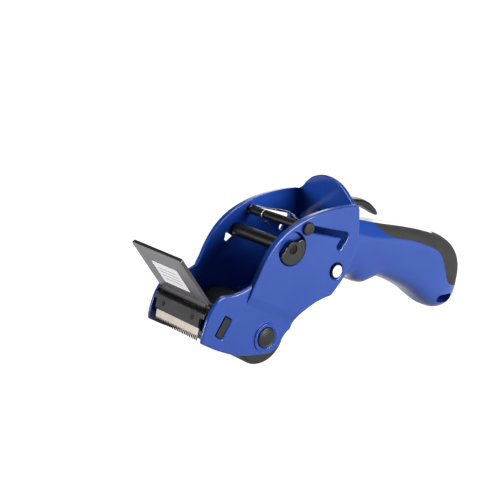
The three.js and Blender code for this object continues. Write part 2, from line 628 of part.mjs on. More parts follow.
// ---- thumb brake --------------------------------------------------------------------
// side outline of the thumb lever (x, z)
const LEVER = [
  [75.2, 65.4], [77.4, 65.2], [80.6, 65.2], [88.0, 66.0], [94.5, 65.9], [100.9, 64.6],
  [105.4, 62.3], [109.6, 60.2], [112.9, 58.2], [115.4, 56.6], [117.6, 56.4], [118.0, 57.6],
  [116.2, 60.4], [113.5, 63.0], [108.4, 67.0], [101.5, 70.2], [94.9, 71.6], [87.0, 72.2],
  [80.6, 72.1], [77.0, 71.4], [75.2, 69.8],
];
// right half of the lever seen from above (x, y)
const LEVER_PLAN = [
  [73, 6.4], [86, 6.4], [96, 6.0], [106, 5.0], [114, 4.0], [117.4, 3.0], [118.6, 1.4],
];
// arm that hangs from the lever's front and carries the shoe (x, z)
const BRAKE_ARM = [
  [75.6, 70.6], [75.6, 59.6], [73.4, 58.8], [72.4, 58.8], [72.4, 63.7], [74.5, 64.1], [74.5, 69.9],
];
const BRAKE_SHOE = [[69.4, 58.0], [72.1, 58.4], [72.1, 64.0], [69.0, 63.6], [68.7, 60.8]];
const BRAKE_HALF = 6.2;

function thumbLever() {
  const plan = [...LEVER_PLAN.map(([x, y]) => [x, -y]), ...[...LEVER_PLAN].reverse()];
  return cut(
    join(
      prism(LEVER, -8, 8).intersect(prismZ(plan, 40, 90)),
      prism(BRAKE_ARM, -BRAKE_HALF, BRAKE_HALF),
    ),
    disc(LEVER_PIN, 1.8, -9, 9, 16),
  );
}

const COIL = { x: 91, radius: 2.2, bottom: 60.9, height: 4.0, turns: 3, spans: 40 };
function leverSpring() {
  const points = Array.from({ length: COIL.spans + 1 }, (_, i) => {
    const part = i / COIL.spans;
    const angle = part * 2 * Math.PI * COIL.turns;
    return new THREE.Vector3(
      COIL.x + COIL.radius * Math.cos(angle),
      COIL.radius * Math.sin(angle),
      COIL.bottom + part * COIL.height,
    );
  });
  return wire(points, { radius: 0.4, sides: 5, steps: 30 });
}

// ---- side plugs ---------------------------------------------------------------------
function sidePlug(sign) {
  const profile = [
    [0, 27.0], [4.6, 27.0], [4.6, DRUM_Y + 0.5], [4.0, DRUM_Y + 0.9], [0, DRUM_Y + 1.1],
  ];
  return revolved(PLUG, profile.map(([r, y]) => [r, sign * y]), 20);
}

// ---- materials ----------------------------------------------------------------------
const finish = ({ color, roughness, metalness = 0 }) =>
  new THREE.MeshStandardMaterial({ color, roughness, metalness });
const blue = () => finish({ color: 0x4464b4, roughness: 0.38 });
const black = () => finish({ color: 0x17171a, roughness: 0.45 });
const rubber = () => finish({ color: 0x1b1a19, roughness: 0.8 });
const steel = () => finish({ color: 0xb4aca4, roughness: 0.3, metalness: 1 });
const inlayWhite = () => finish({ color: 0xe8e8ea, roughness: 0.5 });
const glossBlack = () => finish({ color: 0x202024, roughness: 0.25 });
const paper = () => finish({ color: 0xf0f0f0, roughness: 0.6 });
const coreGrey = () => finish({ color: 0x55585c, roughness: 0.5 });
const bushWhite = () => finish({ color: 0xd8d8d0, roughness: 0.4 });
const capGrey = () => finish({ color: 0x3a3d44, roughness: 0.4 });
const plugWhite = () => finish({ color: 0xf4f0e8, roughness: 0.45 });

// ---- assembly -----------------------------------------------------------------------
const root = new THREE.Group();
const frame = new THREE.Group();
frame.position.set(-ORIGIN_X, 0, -FLOOR_Z);
root.add(frame);

const flapGroup = new THREE.Group();
flapGroup.position.set(FLAP_PIN[0], 0, FLAP_PIN[1]);
flapGroup.rotation.y = -rad(FLAP_LEAN - 90);
frame.add(flapGroup);

function piece(name, manifold, material, group = frame) {
  const mesh = new THREE.Mesh(geometryOf(manifold), material);
  mesh.name = name;
  group.add(mesh);
}

piece("left_body_shell", leftBody, blue());
piece("right_body_shell", rightBody, blue());
BOSSES.forEach((centre, i) => piece("body_screw_" + (i + 1), screw(centre), steel()));
piece("left_rubber_grip", leftGrip, rubber());
piece("right_rubber_grip", rightGrip, rubber());
piece("handle_top_inlay", inlay, inlayWhite());
piece("blade_holder", bladeHolder(), black());
piece("cutting_blade", cuttingBlade(), steel());
piece("blade_rivet_left", rivet(-RIVET_Y), steel());
piece("blade_rivet_right", rivet(RIVET_Y), steel());
piece("tape_flap", tapeFlap(), glossBlack(), flapGroup);
piece("flap_label", flapLabel, paper(), flapGroup);
piece("flap_hinge_pin", disc(FLAP_PIN, FLAP_PIN_R, -25.3, 25.3, 16), steel());
piece("roller_tyre", rollerTyre(), rubber());
piece("roller_core", rollerCore(), coreGrey());
piece("roller_bush_left", rollerBush(-1), bushWhite());
piece("roller_bush_right", rollerBush(1), bushWhite());
piece("roller_axle", disc(ROLLER_AXIS, AXLE_R, -AXLE_HALF, AXLE_HALF, 24), steel());
piece("axle_cap_left", axleCap(-1), capGrey());
piece("axle_cap_right", axleCap(1), capGrey());
piece("core_rod_shaft", disc(CORE_ROD, CORE_ROD_R, -31.6, 31.6, 16), steel());
piece("core_rod_sleeve", tube(CORE_ROD, CORE_ROD_R + 0.2, 2.9, -25.8, 24.0, 20), black());
piece("core_rod_cap_left", coreCap(-1), black());
piece("core_rod_cap_right", coreCap(1), black());
piece("core_rod_strip", leafSpring(), steel());
piece("link_wire", linkWire, steel());
piece("tension_rod_shaft", disc(TENSION_ROD, TENSION_R, -28.9, 28.9, 16), steel());
piece("tension_rod_sleeve", tube(TENSION_ROD, TENSION_BORE_R, 4.3, -25.8, 25.8, 24), black());
piece("tension_knob", tensionKnob, black());
piece("tension_rod_flange", tensionFlange, black());
piece("knob_screw", disc(TENSION_ROD, 2.8, -30.9, -30.4, 20), steel());
piece("side_plug_left", sidePlug(-1), plugWhite());
piece("side_plug_right", sidePlug(1), plugWhite());
piece("thumb_lever", thumbLever(), black());
piece("brake_shoe", prism(BRAKE_SHOE, -BRAKE_HALF, BRAKE_HALF), rubber());
piece("lever_pivot_pin", disc(LEVER_PIN, LEVER_PIN_R, -9.4, 9.4, 16), steel());
piece("lever_spring", leverSpring(), steel());

export default root;
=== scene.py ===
# A hand-held tape dispenser: two moulded body halves with a handle, an applicator roller,
# a core rod, a tension rod with a knob, a toothed blade, a flap and a thumb brake. The
# nose points to -X and the handle runs to +X; left is -Y, right is +Y and Z is up.

from contextlib import contextmanager
from math import (
    acos, atan2, ceil, copysign, cos, degrees, dist, exp, hypot, pi, radians, sin, tan,
)

import bmesh
import bpy
from mathutils import Matrix, Vector
from mathutils.geometry import tessellate_polygon


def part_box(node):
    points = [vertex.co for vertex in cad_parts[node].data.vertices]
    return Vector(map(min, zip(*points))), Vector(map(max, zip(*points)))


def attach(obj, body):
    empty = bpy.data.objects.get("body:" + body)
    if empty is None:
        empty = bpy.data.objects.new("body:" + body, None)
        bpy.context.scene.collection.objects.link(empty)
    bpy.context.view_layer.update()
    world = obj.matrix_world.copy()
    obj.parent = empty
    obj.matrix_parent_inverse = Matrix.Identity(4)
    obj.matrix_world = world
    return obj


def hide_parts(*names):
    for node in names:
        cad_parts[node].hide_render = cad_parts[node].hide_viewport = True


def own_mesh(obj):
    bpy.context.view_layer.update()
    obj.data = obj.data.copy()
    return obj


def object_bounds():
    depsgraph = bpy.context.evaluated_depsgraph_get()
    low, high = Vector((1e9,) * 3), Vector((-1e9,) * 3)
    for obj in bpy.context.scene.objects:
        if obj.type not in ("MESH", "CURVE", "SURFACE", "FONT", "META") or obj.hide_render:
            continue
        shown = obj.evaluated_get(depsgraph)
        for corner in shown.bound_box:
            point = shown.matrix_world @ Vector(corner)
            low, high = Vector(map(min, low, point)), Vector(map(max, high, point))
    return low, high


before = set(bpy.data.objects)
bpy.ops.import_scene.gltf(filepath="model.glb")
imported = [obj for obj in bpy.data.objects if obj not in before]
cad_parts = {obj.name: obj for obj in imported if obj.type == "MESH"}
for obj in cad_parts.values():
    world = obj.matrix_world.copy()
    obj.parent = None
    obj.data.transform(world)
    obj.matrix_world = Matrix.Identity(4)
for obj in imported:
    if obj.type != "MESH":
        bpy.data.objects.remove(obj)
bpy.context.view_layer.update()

roller_low, roller_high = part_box("roller_tyre")
ROLLER = (roller_low + roller_high) / 2
TO_ROW = Matrix.Translation((ROLLER.x, 0.0, ROLLER.z)) @ Matrix.Scale(0.001, 4)

scene = bpy.context.scene
scene.view_settings.view_transform = "Standard"
scene.view_settings.look = "None"

SIDES = ((-1, "left"), (1, "right"))

# ------------------------------------------------------------------ axes along Y: (x, z)
AXLE = (0, 0)
CORE_ROD = (28.8, 66.0)
TENSION_ROD = (17.2, 54.5)
PLUG = (55.4, 34.2)
FLAP_PIN = (-39.68, 25.54)
LEVER_PIN = (79.2, 68.6)
BODY_SCREWS = [(86, 50), (88, 28), (136, 26), (168, 3)]

# ------------------------------------------------------------------ body sizes
PLATE_IN = 26.2  # inner face of both side plates, off the middle plane
NOSE_OUT = 28.8  # outer face of the nose plate
DRUM_OUT = 30.3  # outer face of the raised drum plate
BODY_HALF = 28.2  # half width of the rear wall and the cradle

# The drum plate's outer face sinks to the nose's along a line through FADE_AT.
FADE_AT, FADE_DIR, FADE_RUN = (-17.5, 24.0), -26.0, 7.0
FADE_LOW, FADE_RISE = 28.55, 1.85

# J-shaped slot from the core rod: direction, width, length and the hook at its end
SLOT_DIR, SLOT_W, SLOT_RUN = -15.7, 4.2, 34.6
SLOT_HOOK, SLOT_HOOK_TURN = 8.6, -112

# cradle: the curved wall under the roll, from its front end to its rear end (degrees)
CRADLE_AT, CRADLE_R, CRADLE_T = (22.5, 63.6), 49.2, 2.4
CRADLE_FRONT, CRADLE_REAR = -97, -4

WALL_X, WALL_T, WALL_Z, WALL_LEAN = 73.75, 2.4, 66.0, 1 / 21  # lean: forward per rise

# the blade bar's end tabs sit in windows through the side plates
TAB_AT, TAB_DIR = (-33.35, 12.8), 55.7

INLAY_HALF, INLAY_CORNER, INLAY_X = 8.3, 5.0, (88, 171)
GAP = 0.14  # clearance round the grips and the inlay
SKIN_INSET = 1.9  # underside of the grips and the inlay, below the handle's surface

# ------------------------------------------------------------------ moving and fitted parts
TYRE_R, ROLLER_HALF = 19.0, 24.6
BUSH_IN = 16.5
SLEEVE_HALF = 25.8

BLADE_FOOT, BLADE_HEAD = (-47.4, 7.0), (-44.4, 22.6)
BLADE_MID = tuple((a + b) / 2 for a, b in zip(BLADE_FOOT, BLADE_HEAD))
BLADE_DIR = degrees(atan2(BLADE_HEAD[1] - BLADE_FOOT[1], BLADE_HEAD[0] - BLADE_FOOT[0]))
BLADE_HALF, BLADE_TOP, TOOTH_ROOT, TOOTH_TIP, TEETH = 21.8, 7.6, -6.3, -9.5, 25
RIVET_AT, RIVET_Y = (-44.3, 17.9), 15
HOLDER_HALF = 25.9

FLAP_LEAN, FLAP_LEN, FLAP_T, FLAP_HALF = 125.0, 41.6, 2.4, 25
FLAP_OFFSET = 0.1  # the panel's mid plane lies this far in front of the pin's axis
BARREL_HALF = 22  # the hinge barrel's half length
EAR_ROOM_R = 3.3  # clearance radius about the flap pin
LABEL_Y, LABEL_UP = (-12.5, 13.5), (10.0, 28.5)  # across the flap, up the flap

LEAF_T, LEAF_W, LEAF_DIR = 0.5, 3.4, 62.0
KNOB_IN, KNOB_OUT = 27.6, 30.9  # knob and end plate, off the middle plane
LEVER_HALF = 6.2
COIL_AT, COIL_R, COIL_TURNS, COIL_STEPS = (91, 60.9), 2.2, 3, 60
COIL_RISE, COIL_FOOT = 4.0, 60.5

# ------------------------------------------------------------------ outlines
NOSE = [  # (x, z), the underside towards the front, up the nose, then back under the drum
    (21.1, 3.6), (19.9, 1.2), (17.6, 0.2), (15.6, -1.6), (13.9, -3.8), (11.6, -6.9),
    (8.8, -9.6), (5.4, -11.2), (1.4, -11.5), (-2.5, -10.9), (-12.1, -9.7), (-21.6, -7.8),
    (-29.4, -4.8), (-38.7, -0.5), (-45.5, 3.4), (-49.3, 5.6), (-49.1, 8.2), (-48.9, 10.2),
    (-48.3, 12.3), (-47.4, 14.6), (-46.6, 16.9), (-45.9, 19.3), (-44.8, 21.6), (-43.5, 23.9),
    (-41.9, 26.0), (-40.2, 28.2), (-38.6, 30.3), (-37.0, 31.9), (-34.6, 32.8), (-31.5, 32.5),
    (-28.5, 32.1), (-25.5, 32.1), (-22.4, 32.5), (-19.4, 33.1), (-16.3, 33.9), (-13.5, 35.1),
    (-8.5, 37.5), (-6, 33), (-8, 28), (-4, 23), (5, 18), (16, 14.5), (25.5, 12),
]
DRUM = [  # (x, z), up the front edge, over the top and down the rear
    (21.9, 5.6), (15.0, 7.4), (4.0, 9.6), (-6.0, 13.0), (-12.6, 18.0), (-16.4, 23.0),
    (-16.2, 26.2), (-15.1, 28.6), (-14.2, 31.0), (-12.9, 33.8), (-11.9, 36.0), (-11.0, 37.6),
    (-9.3, 40.0), (-8.2, 42.7), (-6.7, 45.6), (-5.0, 48.5), (-3.1, 51.4), (-1.0, 54.2),
    (1.4, 57.0), (4.1, 59.7), (7.3, 62.4), (11.0, 65.0), (14.6, 67.0), (19.8, 69.3),
    (26.1, 71.6), (32.6, 73.4), (39.2, 74.5), (45.8, 75.3), (52.6, 75.8), (59.4, 76.1),
    (64.7, 76.0), (69.6, 75.7), (72.4, 74.4), (73.3, 72.0), (73.5, 68.8), (74.0, 56.0),
    (72.9, 48.9), (70.3, 41.2), (66.4, 33.8), (62.3, 27.9), (57.6, 23.1), (54.4, 20.0),
    (52.3, 18.2), (46.8, 17.6), (39.2, 15.8), (31.8, 12.8), (25.3, 9.7), (22.2, 7.2),
]
SHARP = [  # (x, z, reach) of the corners of both plates that stay crisp
    (-49.3, 5.6, 4), (52.3, 18.2, 4), (72.6, 75.0, 6), (21.3, 4.4, 9), (17.4, 0.1, 8),
    (-11.4, 36.8, 4), (22.0, 6.0, 8), (-12.4, 35.6, 3),
]
CUP_WINDOW = [(-7.6, -0.9), (-2.2, -4.9), (-7.0, -7.8), (-8.9, -6.1)]  # from TENSION_ROD
ARCH = [  # (y, z) of the rear wall's top edge, right half
    (25.6, 75.9), (24.4, 76.6), (22.8, 78.0), (20.8, 80.2), (18.7, 82.1), (15.1, 84.8),
    (12.9, 86.0), (9.8, 87.2), (6.4, 88.2), (3.0, 88.75),
]
ARCH_TOP = 88.85
HANDLE = [  # sections: top x, top z, bottom x, bottom z, half width
    (64, 65.4, 64, 24, 15.4), (74, 63.8, 72, 22, 15.2), (82, 61.9, 80, 20.4, 15),
    (90, 60, 88, 18.6, 15), (97, 58.3, 94, 14.4, 15), (103.6, 56.6, 100.5, 12.3, 15),
    (113, 54.1, 107, 13.4, 15), (123, 51.6, 113, 14.4, 15), (131, 49.8, 119, 13.2, 15),
    (138, 48.1, 126, 10.3, 15), (146, 46.0, 133.5, 6.8, 15), (153.5, 43.9, 141, 2.9, 15),
    (161.5, 41.4, 149, -1.7, 15), (169.4, 38.7, 156, -6.9, 15), (175, 36.6, 163, -12.3, 15),
    (180, 34.2, 169, -16.4, 14.9), (185, 31.2, 174.5, -18.9, 14.7),
    (189, 28.2, 179, -19.8, 14.3), (192.5, 24.6, 183, -19.9, 13.7), (195, 21, 187, -19.4, 12.8),
    (196.9, 17, 190.5, -17.8, 11.6), (198.3, 12.4, 193.5, -15.4, 10), (199, 8, 195.6, -12.2, 8),
    (199.4, 4.4, 197, -8.4, 5.6), (199.6, 1.6, 198.6, -3.6, 2.6),
]
GRIP_LINE = [  # (x, z) of the grips' lower edge, front to rear
    (104.6, 58), (106.9, 54.7), (109.6, 51.4), (113.1, 48.6), (116, 46.0), (119.3, 44.2),
    (124, 42.4), (129.3, 41.0), (139.4, 38.3), (149.8, 34.8), (160.4, 30.6), (168.1, 26.6),
    (172.4, 22.3), (175.5, 16.9), (177.9, 10.5), (180.3, 4.1), (182.9, -0.1), (187.4, -2.4),
    (193.0, -3.9), (204, -5.4),
]
EAR = [  # (x, z) of the lever pin's two ears
    (73.0, 60), (85.6, 58.4), (82.9, 69.6), (81.6, 71.6), (79.2, 72.2), (76.6, 71.8),
    (73.0, 72.8),
]
HOLDER = [  # (x, z) of the blade bar's section
    (-45.6, 22.9), (-46.9, 18.0), (-47.6, 14.6), (-46.6, 12.6), (-43.2, 8.4), (-37.6, 4.4),
    (-34.0, 5.6), (-27.0, 15.6), (-27.6, 18.6), (-33.5, 21.4), (-38.0, 22.6), (-41.0, 23.4),
]
POCKET = [(-29.8, 12.2), (-33.5, 17.6), (-31.4, 19.6), (-26.4, 20.2), (-24, 12)]  # (x, z)
TOOTH = [  # (part of the pitch, height along the blade)
    (0.22, TOOTH_ROOT), (0.40, TOOTH_TIP + 0.3), (0.5, TOOTH_TIP), (0.60, TOOTH_TIP + 0.3),
    (0.78, TOOTH_ROOT),
]
LEAF = [  # (y, distance from the core rod's axis) of the strip's inner face
    (-19.6, 3.3), (-17.6, 3.5), (-14.6, 4.6), (-11.6, 5.7), (-8.4, 6.1), (-4.6, 5.9),
    (0.4, 5.2), (6.4, 4.4), (13.4, 3.8), (20.4, 3.6), (24.5, 3.6),
]
LEAF_END = [(24.5, 2.15), (25.2, 2.15), (25.3, 3.7), (24.9, 4.1)]
WIRE = [  # (x, y, z) with x and z from CORE_ROD
    (-1.2, 9.8, 3.5), (-3.4, 9.7, 1.7), (-3.6, 9.6, -1.4), (-1.4, 9.5, -3.8),
    (1.4, 9.5, -5.4), (5.2, 9.5, -10.4),
]
KNOB_EDGE = [  # (x, z) from TENSION_ROD, along the knob's cut-off side
    (8.4, 5.6), (4.9, 5.0), (4.1, 4.1), (3.3, 5.0), (-0.6, 5.5), (-3.6, 3.5), (-6.6, 0.6),
    (-7.2, -0.8), (-8.2, -1.6),
]
LEVER = [  # sections: top x, top z, bottom x, bottom z, half width
    (76.2, 71.2, 75.6, 65.6, 6.4), (80.6, 72.1, 80.6, 65.2, 6.4), (87.0, 72.2, 88.0, 66.0, 6.4),
    (94.9, 71.6, 94.5, 65.9, 6.1), (101.5, 70.2, 100.9, 64.6, 5.7),
    (108.4, 67.0, 105.4, 62.3, 5.2), (113.5, 63.0, 109.6, 60.2, 4.6),
    (116.2, 60.4, 112.9, 58.2, 3.8), (117.9, 57.8, 116.4, 56.5, 2.6),
]
LEVER_ARM = [
    (75.8, 70.4), (75.6, 59.6), (73.4, 58.8), (72.4, 58.8), (72.4, 63.7), (74.5, 64.1),
    (74.5, 69.9),
]
LEVER_STEM = [(74.5, 70.3), (79, 71.6), (79, 65.6), (74.8, 63.4)]
BRAKE_SHOE = [(69.4, 58.0), (72.1, 58.4), (72.1, 64.0), (69.0, 63.6), (68.7, 60.8)]

# Turned profiles are (radius, distance off the middle plane).
AXLE_RIM = [
    (6.8, 27.2), (8.3, 27.2), (8.3, 28.7), (8.0, 29.0), (7.7, 29.3), (7.2, 29.35), (6.8, 29.1),
]
AXLE_RING = [(7.6, 26.25), (9.6, 26.25), (9.6, 28.7), (9.3, 29.7), (7.75, 29.7), (7.6, 29.3)]
AXLE_BOSS = [
    (3.3, 25.1), (6.0, 25.1), (6.4, 26.3), (7.9, 26.3), (7.9, 27.9), (3.3, 27.9),
]
CUP = [(0, 33), (12.4, 33), (11.8, 30.8), (11.0, 30.1), (10.8, 29.5), (10.8, 27.3), (0, 27.3)]
TYRE_END = [  # from the face of the tyre's end to its tread
    (12, ROLLER_HALF), (16.8, ROLLER_HALF), (17.2, ROLLER_HALF - 0.35),
    (18.3, ROLLER_HALF - 0.5), (TYRE_R, ROLLER_HALF - 1.6),
]
CORE = [
    (8.3, -ROLLER_HALF), (11.7, -ROLLER_HALF), (11.7, ROLLER_HALF), (8.3, ROLLER_HALF),
    (8.3, 16.2), (7.3, 16.2), (7.3, -16.2), (8.3, -16.2),
]
BUSH_PROFILE = [
    (3.1, BUSH_IN), (8.0, BUSH_IN), (8.0, ROLLER_HALF - 0.1), (3.1, ROLLER_HALF - 0.1),
]
AXLE_CAP = [
    (0, 28.2), (6.5, 28.2), (6.5, 29.4), (6.25, 29.85), (5.7, 30.0), (5.2, 29.85),
    (4.9, 29.95), (3.4, 30.3), (1.8, 30.45), (0, 30.5),
]
CORE_ROD_CAP = [
    (0, 31.9), (2.05, 31.9), (2.05, 30.6), (4.2, 30.6), (4.2, 31.8), (3.6, 32.35),
    (2.4, 32.45), (0, 32.5),
]
PLUG_PROFILE = [(0, 27.0), (4.6, 27.0), (4.6, 30.8), (4.0, 31.2), (2.0, 31.36), (0, 31.4)]
SCREW_PROFILE = [
    (0, -9.0), (1.2, -9.0), (1.4, -8.2), (1.4, 9.9), (2.9, 9.9), (2.9, 10.9), (2.2, 11.5),
    (0, 11.7),
]


# ------------------------------------------------------------------ 2D helpers
def polar(centre, radius, deg):
    return (centre[0] + radius * cos(radians(deg)), centre[1] + radius * sin(radians(deg)))


def arc(centre, radius, deg0, deg1, steps):
    return [polar(centre, radius, deg0 + (deg1 - deg0) * i / steps) for i in range(steps + 1)]


def circle(centre, radius, count):
    return [polar(centre, radius, 360 * i / count) for i in range(count)]


def rect(x0, x1, z0, z1):
    return [(x0, z0), (x1, z0), (x1, z1), (x0, z1)]


def placed(points, centre, deg=0):
    """Points given about (0, 0), turned and moved to a centre."""
    co, si = cos(radians(deg)), sin(radians(deg))
    return [(centre[0] + x * co - z * si, centre[1] + x * si + z * co) for x, z in points]


def stadium(start, end, width):
    """A straight slot with round ends."""
    deg = degrees(atan2(end[1] - start[1], end[0] - start[0]))
    near_end = arc(end, width / 2, deg - 90, deg + 90, 12)
    return near_end + arc(start, width / 2, deg + 90, deg + 270, 12)


def signed_area(points):
    return 0.5 * sum(
        points[i - 1][0] * points[i][1] - points[i][0] * points[i - 1][1]
        for i in range(len(points))
    )


def resample(points, step):
    """A closed outline as evenly spaced points."""
    sides = [(a, points[(i + 1) % len(points)]) for i, a in enumerate(points)]
    lengths = [dist(a, b) for a, b in sides]
    total = sum(lengths)
    count = max(8, int(round(total / step)))
    out, k, passed = [], 0, 0.0
    for i in range(count):
        along = total * i / count
        while passed + lengths[k] < along - 1e-9:
            passed += lengths[k]
            k += 1
        part = (along - passed) / max(lengths[k], 1e-9)
        a, b = sides[k]
        out.append((a[0] + (b[0] - a[0]) * part, a[1] + (b[1] - a[1]) * part))
    return out


def smooth(points, sigma, step, sharp=(), sharp_sigma=0.8):
    """A closed outline, resampled and rounded, and rounded less near the points of sharp."""
    points = resample(points, step)
    count = len(points)
    out = []
    for i, here in enumerate(points):
        spread = sigma
        for x, z, reach in sharp:
            away = dist(here, (x, z))
            if away < reach:
                part = away / reach
                spread = min(spread, sharp_sigma + (sigma - sharp_sigma) * part * part)
        window = max(1, int(ceil(2.5 * spread / step)))
        sum_x = sum_z = total = 0.0
        for k in range(-window, window + 1):
            weight = exp(-0.5 * (k * step / spread) ** 2)
            x, z = points[(i + k) % count]
            sum_x += weight * x
            sum_z += weight * z
            total += weight
        out.append((sum_x / total, sum_z / total))
    return out


def spline_rows(rows, per):
    """Catmull-Rom through tuples of any length, with per steps between neighbours."""
    out = []
    last = len(rows) - 1
    for i in range(last):
        four = rows[max(i - 1, 0)], rows[i], rows[i + 1], rows[min(i + 2, last)]
        for k in range(per):
            t = k / per
            out.append(tuple(
                0.5 * (
                    2 * b + (c - a) * t + (2 * a - 5 * b + 4 * c - d) * t * t
                    + (3 * b - a - 3 * c + d) * t ** 3
                )
                for a, b, c, d in zip(*four)
            ))
    out.append(tuple(rows[-1]))
    return out


def fillet(before, corner, after, radius, steps):
    """The points that round one corner; a nearly straight one stays a point."""
    corner = Vector(corner)
    back, ahead = Vector(before) - corner, Vector(after) - corner
    back_len, ahead_len = back.length, ahead.length
    back, ahead = back / back_len, ahead / ahead_len
    angle = acos(max(-1, min(1, back.dot(ahead))))
    if angle > radians(172):
        return [(corner.x, corner.y)]
    cut_back = min(radius / tan(angle / 2), back_len * 0.48, ahead_len * 0.48)
    radius = cut_back * tan(angle / 2)
    start, end = corner + back * cut_back, corner + ahead * cut_back
    centre = corner + (back + ahead).normalized() * (radius / sin(angle / 2))
    start_at = atan2(start.y - centre.y, start.x - centre.x)
    end_at = atan2(end.y - centre.y, end.x - centre.x)
    sweep = (end_at - start_at + pi) % (2 * pi) - pi
    turns = [start_at + sweep * k / steps for k in range(steps + 1)]
    return [(centre.x + radius * cos(t), centre.y + radius * sin(t)) for t in turns]


def rounded(points, radius, steps=4, closed=True):
    """A polygon with filleted corners. radius may be a list; an open line keeps its ends."""
    count = len(points)
    radii = radius if isinstance(radius, list) else [radius] * count
    out = [] if closed else [points[0]]
    for i in range(count) if closed else range(1, count - 1):
        out += fillet(points[i - 1], points[i], points[(i + 1) % count], radii[i], steps)
    return out if closed else out + [points[-1]]


# ------------------------------------------------------------------ mesh helpers (mm)
@contextmanager
def mesh_edit(obj):
    bm = bmesh.new()
    bm.from_mesh(obj.data)
    yield bm
    bm.to_mesh(obj.data)
    bm.free()


def new_obj(name, verts, faces):
    mesh = bpy.data.meshes.new(name)
    mesh.from_pydata([tuple(v) for v in verts], [], faces)
    mesh.update()
    obj = bpy.data.objects.new(name, mesh)
    scene.collection.objects.link(obj)
    with mesh_edit(obj) as bm:
        bmesh.ops.remove_doubles(bm, verts=bm.verts, dist=1e-5)
        bmesh.ops.recalc_face_normals(bm, faces=bm.faces)
        if bm.calc_volume(signed=True) < 0:
            bmesh.ops.reverse_faces(bm, faces=bm.faces)
    return obj


def bridge(first, second, count):
    """Quads between two closed rings of vertices, given their first numbers."""
    pairs = [(i, (i + 1) % count) for i in range(count)]
    return [(first + i, first + j, second + j, second + i) for i, j in pairs]


def edge_levels(h0, h1, rounds, steps):
    """(inset, height) of each ring through a plate whose two edges are rounded."""
    r0, r1 = rounds
    quarter = [pi / 2 * k / steps for k in range(steps + 1)]
    first, last = [(0.0, h0)], [(0.0, h1)]
    if r0:
        first = [(r0 * (1 - sin(t)), h0 + r0 * (1 - cos(t))) for t in quarter]
    if r1:
        last = [(r1 * (1 - cos(t)), h1 - r1 * (1 - sin(t))) for t in quarter]
    return first + last


def corner_normals(loop):
    """Inward offsets of a loop's points for an inset of 1."""
    normals = []
    for i, point in enumerate(loop):
        before, here, after = Vector(loop[i - 1]), Vector(point), Vector(loop[(i + 1) % len(loop)])
        edge_in, edge_out = here - before, after - here
        if edge_in.length < 1e-9 or edge_out.length < 1e-9:
            edge_in = edge_out = after - before
        edge_in.normalize()
        edge_out.normalize()
        both = Vector((-edge_in.y, edge_in.x)) + Vector((-edge_out.y, edge_out.x))
        normals.append(both / max(both.length_squared / 2, 0.4))
    return normals


def prism(name, outline, h0, h1, place, rounds=(0, 0), steps=4, holes=()):
    """A plate of an outline from h0 to h1. place(u, v, h) gives the point in space."""
    loops = [outline if signed_area(outline) > 0 else outline[::-1]]
    loops += [hole if signed_area(hole) < 0 else hole[::-1] for hole in holes]
    levels = edge_levels(h0, h1, rounds, steps)
    verts, faces = [], []
    caps = [([], []), ([], [])]  # each end's flat loops and their vertex numbers
    for loop in loops:
        count = len(loop)
        normals = corner_normals(loop)
        rings = []
        for inset, h in levels:
            points = [Vector(p) + normal * inset for p, normal in zip(loop, normals)]
            rings.append((len(verts), points))
            verts += [place(p.x, p.y, h) for p in points]
        for (a, _), (b, _) in zip(rings, rings[1:]):
            faces += bridge(a, b, count)
        for (flat, numbers), (start, points) in zip(caps, (rings[0], rings[-1])):
            flat.append([Vector((p.x, p.y, 0)) for p in points])
            numbers += range(start, start + count)
    for flat, numbers in caps:
        for triangle in tessellate_polygon(flat):
            corners = tuple(numbers[k] for k in triangle)
            if len(set(corners)) == 3:
                faces.append(corners)
    return new_obj(name, verts, faces)


def plate(name, outline, y0, y1, rounds=(0, 0), steps=4, holes=()):
    """A plate of an (x, z) outline between two y."""
    return prism(name, outline, y0, y1, lambda u, v, h: (u, h, v), rounds, steps, holes)


def side_plate(name, side, outline, near, far, rounds, holes):
    """A plate beside the middle plane; rounds are those of its near and far faces."""
    if side > 0:
        return plate(name, outline, near, far, rounds, 6, holes)
    return plate(name, outline, -far, -near, rounds[::-1], 6, holes)


def box(name, x0, x1, y0, y1, z0, z1):
    return plate(name, rect(x0, x1, z0, z1), y0, y1)


def lathe(name, centre, profile, seg=96, closed=False, side=1):
    """(radius, y) turned about an axis along Y; side -1 mirrors it to the left."""
    verts, faces, rings = [], [], []
    for radius, y in profile:
        y *= side
        start = len(verts)
        if radius < 1e-6:
            verts.append((centre[0], y, centre[1]))
        else:
            for i in range(seg):
                a = 2 * pi * i / seg
                verts.append((centre[0] + radius * cos(a), y, centre[1] + radius * sin(a)))
        rings.append(range(start, len(verts)))
    pairs = list(zip(rings, rings[1:])) + ([(rings[-1], rings[0])] if closed else [])
    for a, b in pairs:
        for i in range(seg):
            j = (i + 1) % seg
            if len(a) == 1:
                faces.append((a[0], b[i], b[j]))
            elif len(b) == 1:
                faces.append((a[i], a[j], b[0]))
            else:
                faces.append((a[i], a[j], b[j], b[i]))
    return new_obj(name, verts, faces)


def cylinder(name, centre, radius, y0, y1, seg=64, bevel=0.0):
    profile = [(0, y0), (radius, y0), (radius, y1), (0, y1)]
    if bevel:
        flat = radius - bevel
        quarter = [radians(30), radians(60), radians(90)]
        profile = [(0, y0), (flat, y0)]
        profile += [(flat + bevel * sin(t), y0 + bevel * (1 - cos(t))) for t in quarter]
        profile += [(flat + bevel * cos(t), y1 - bevel + bevel * sin(t)) for t in [0] + quarter]
        profile += [(0, y1)]
    return lathe(name, centre, profile, seg)


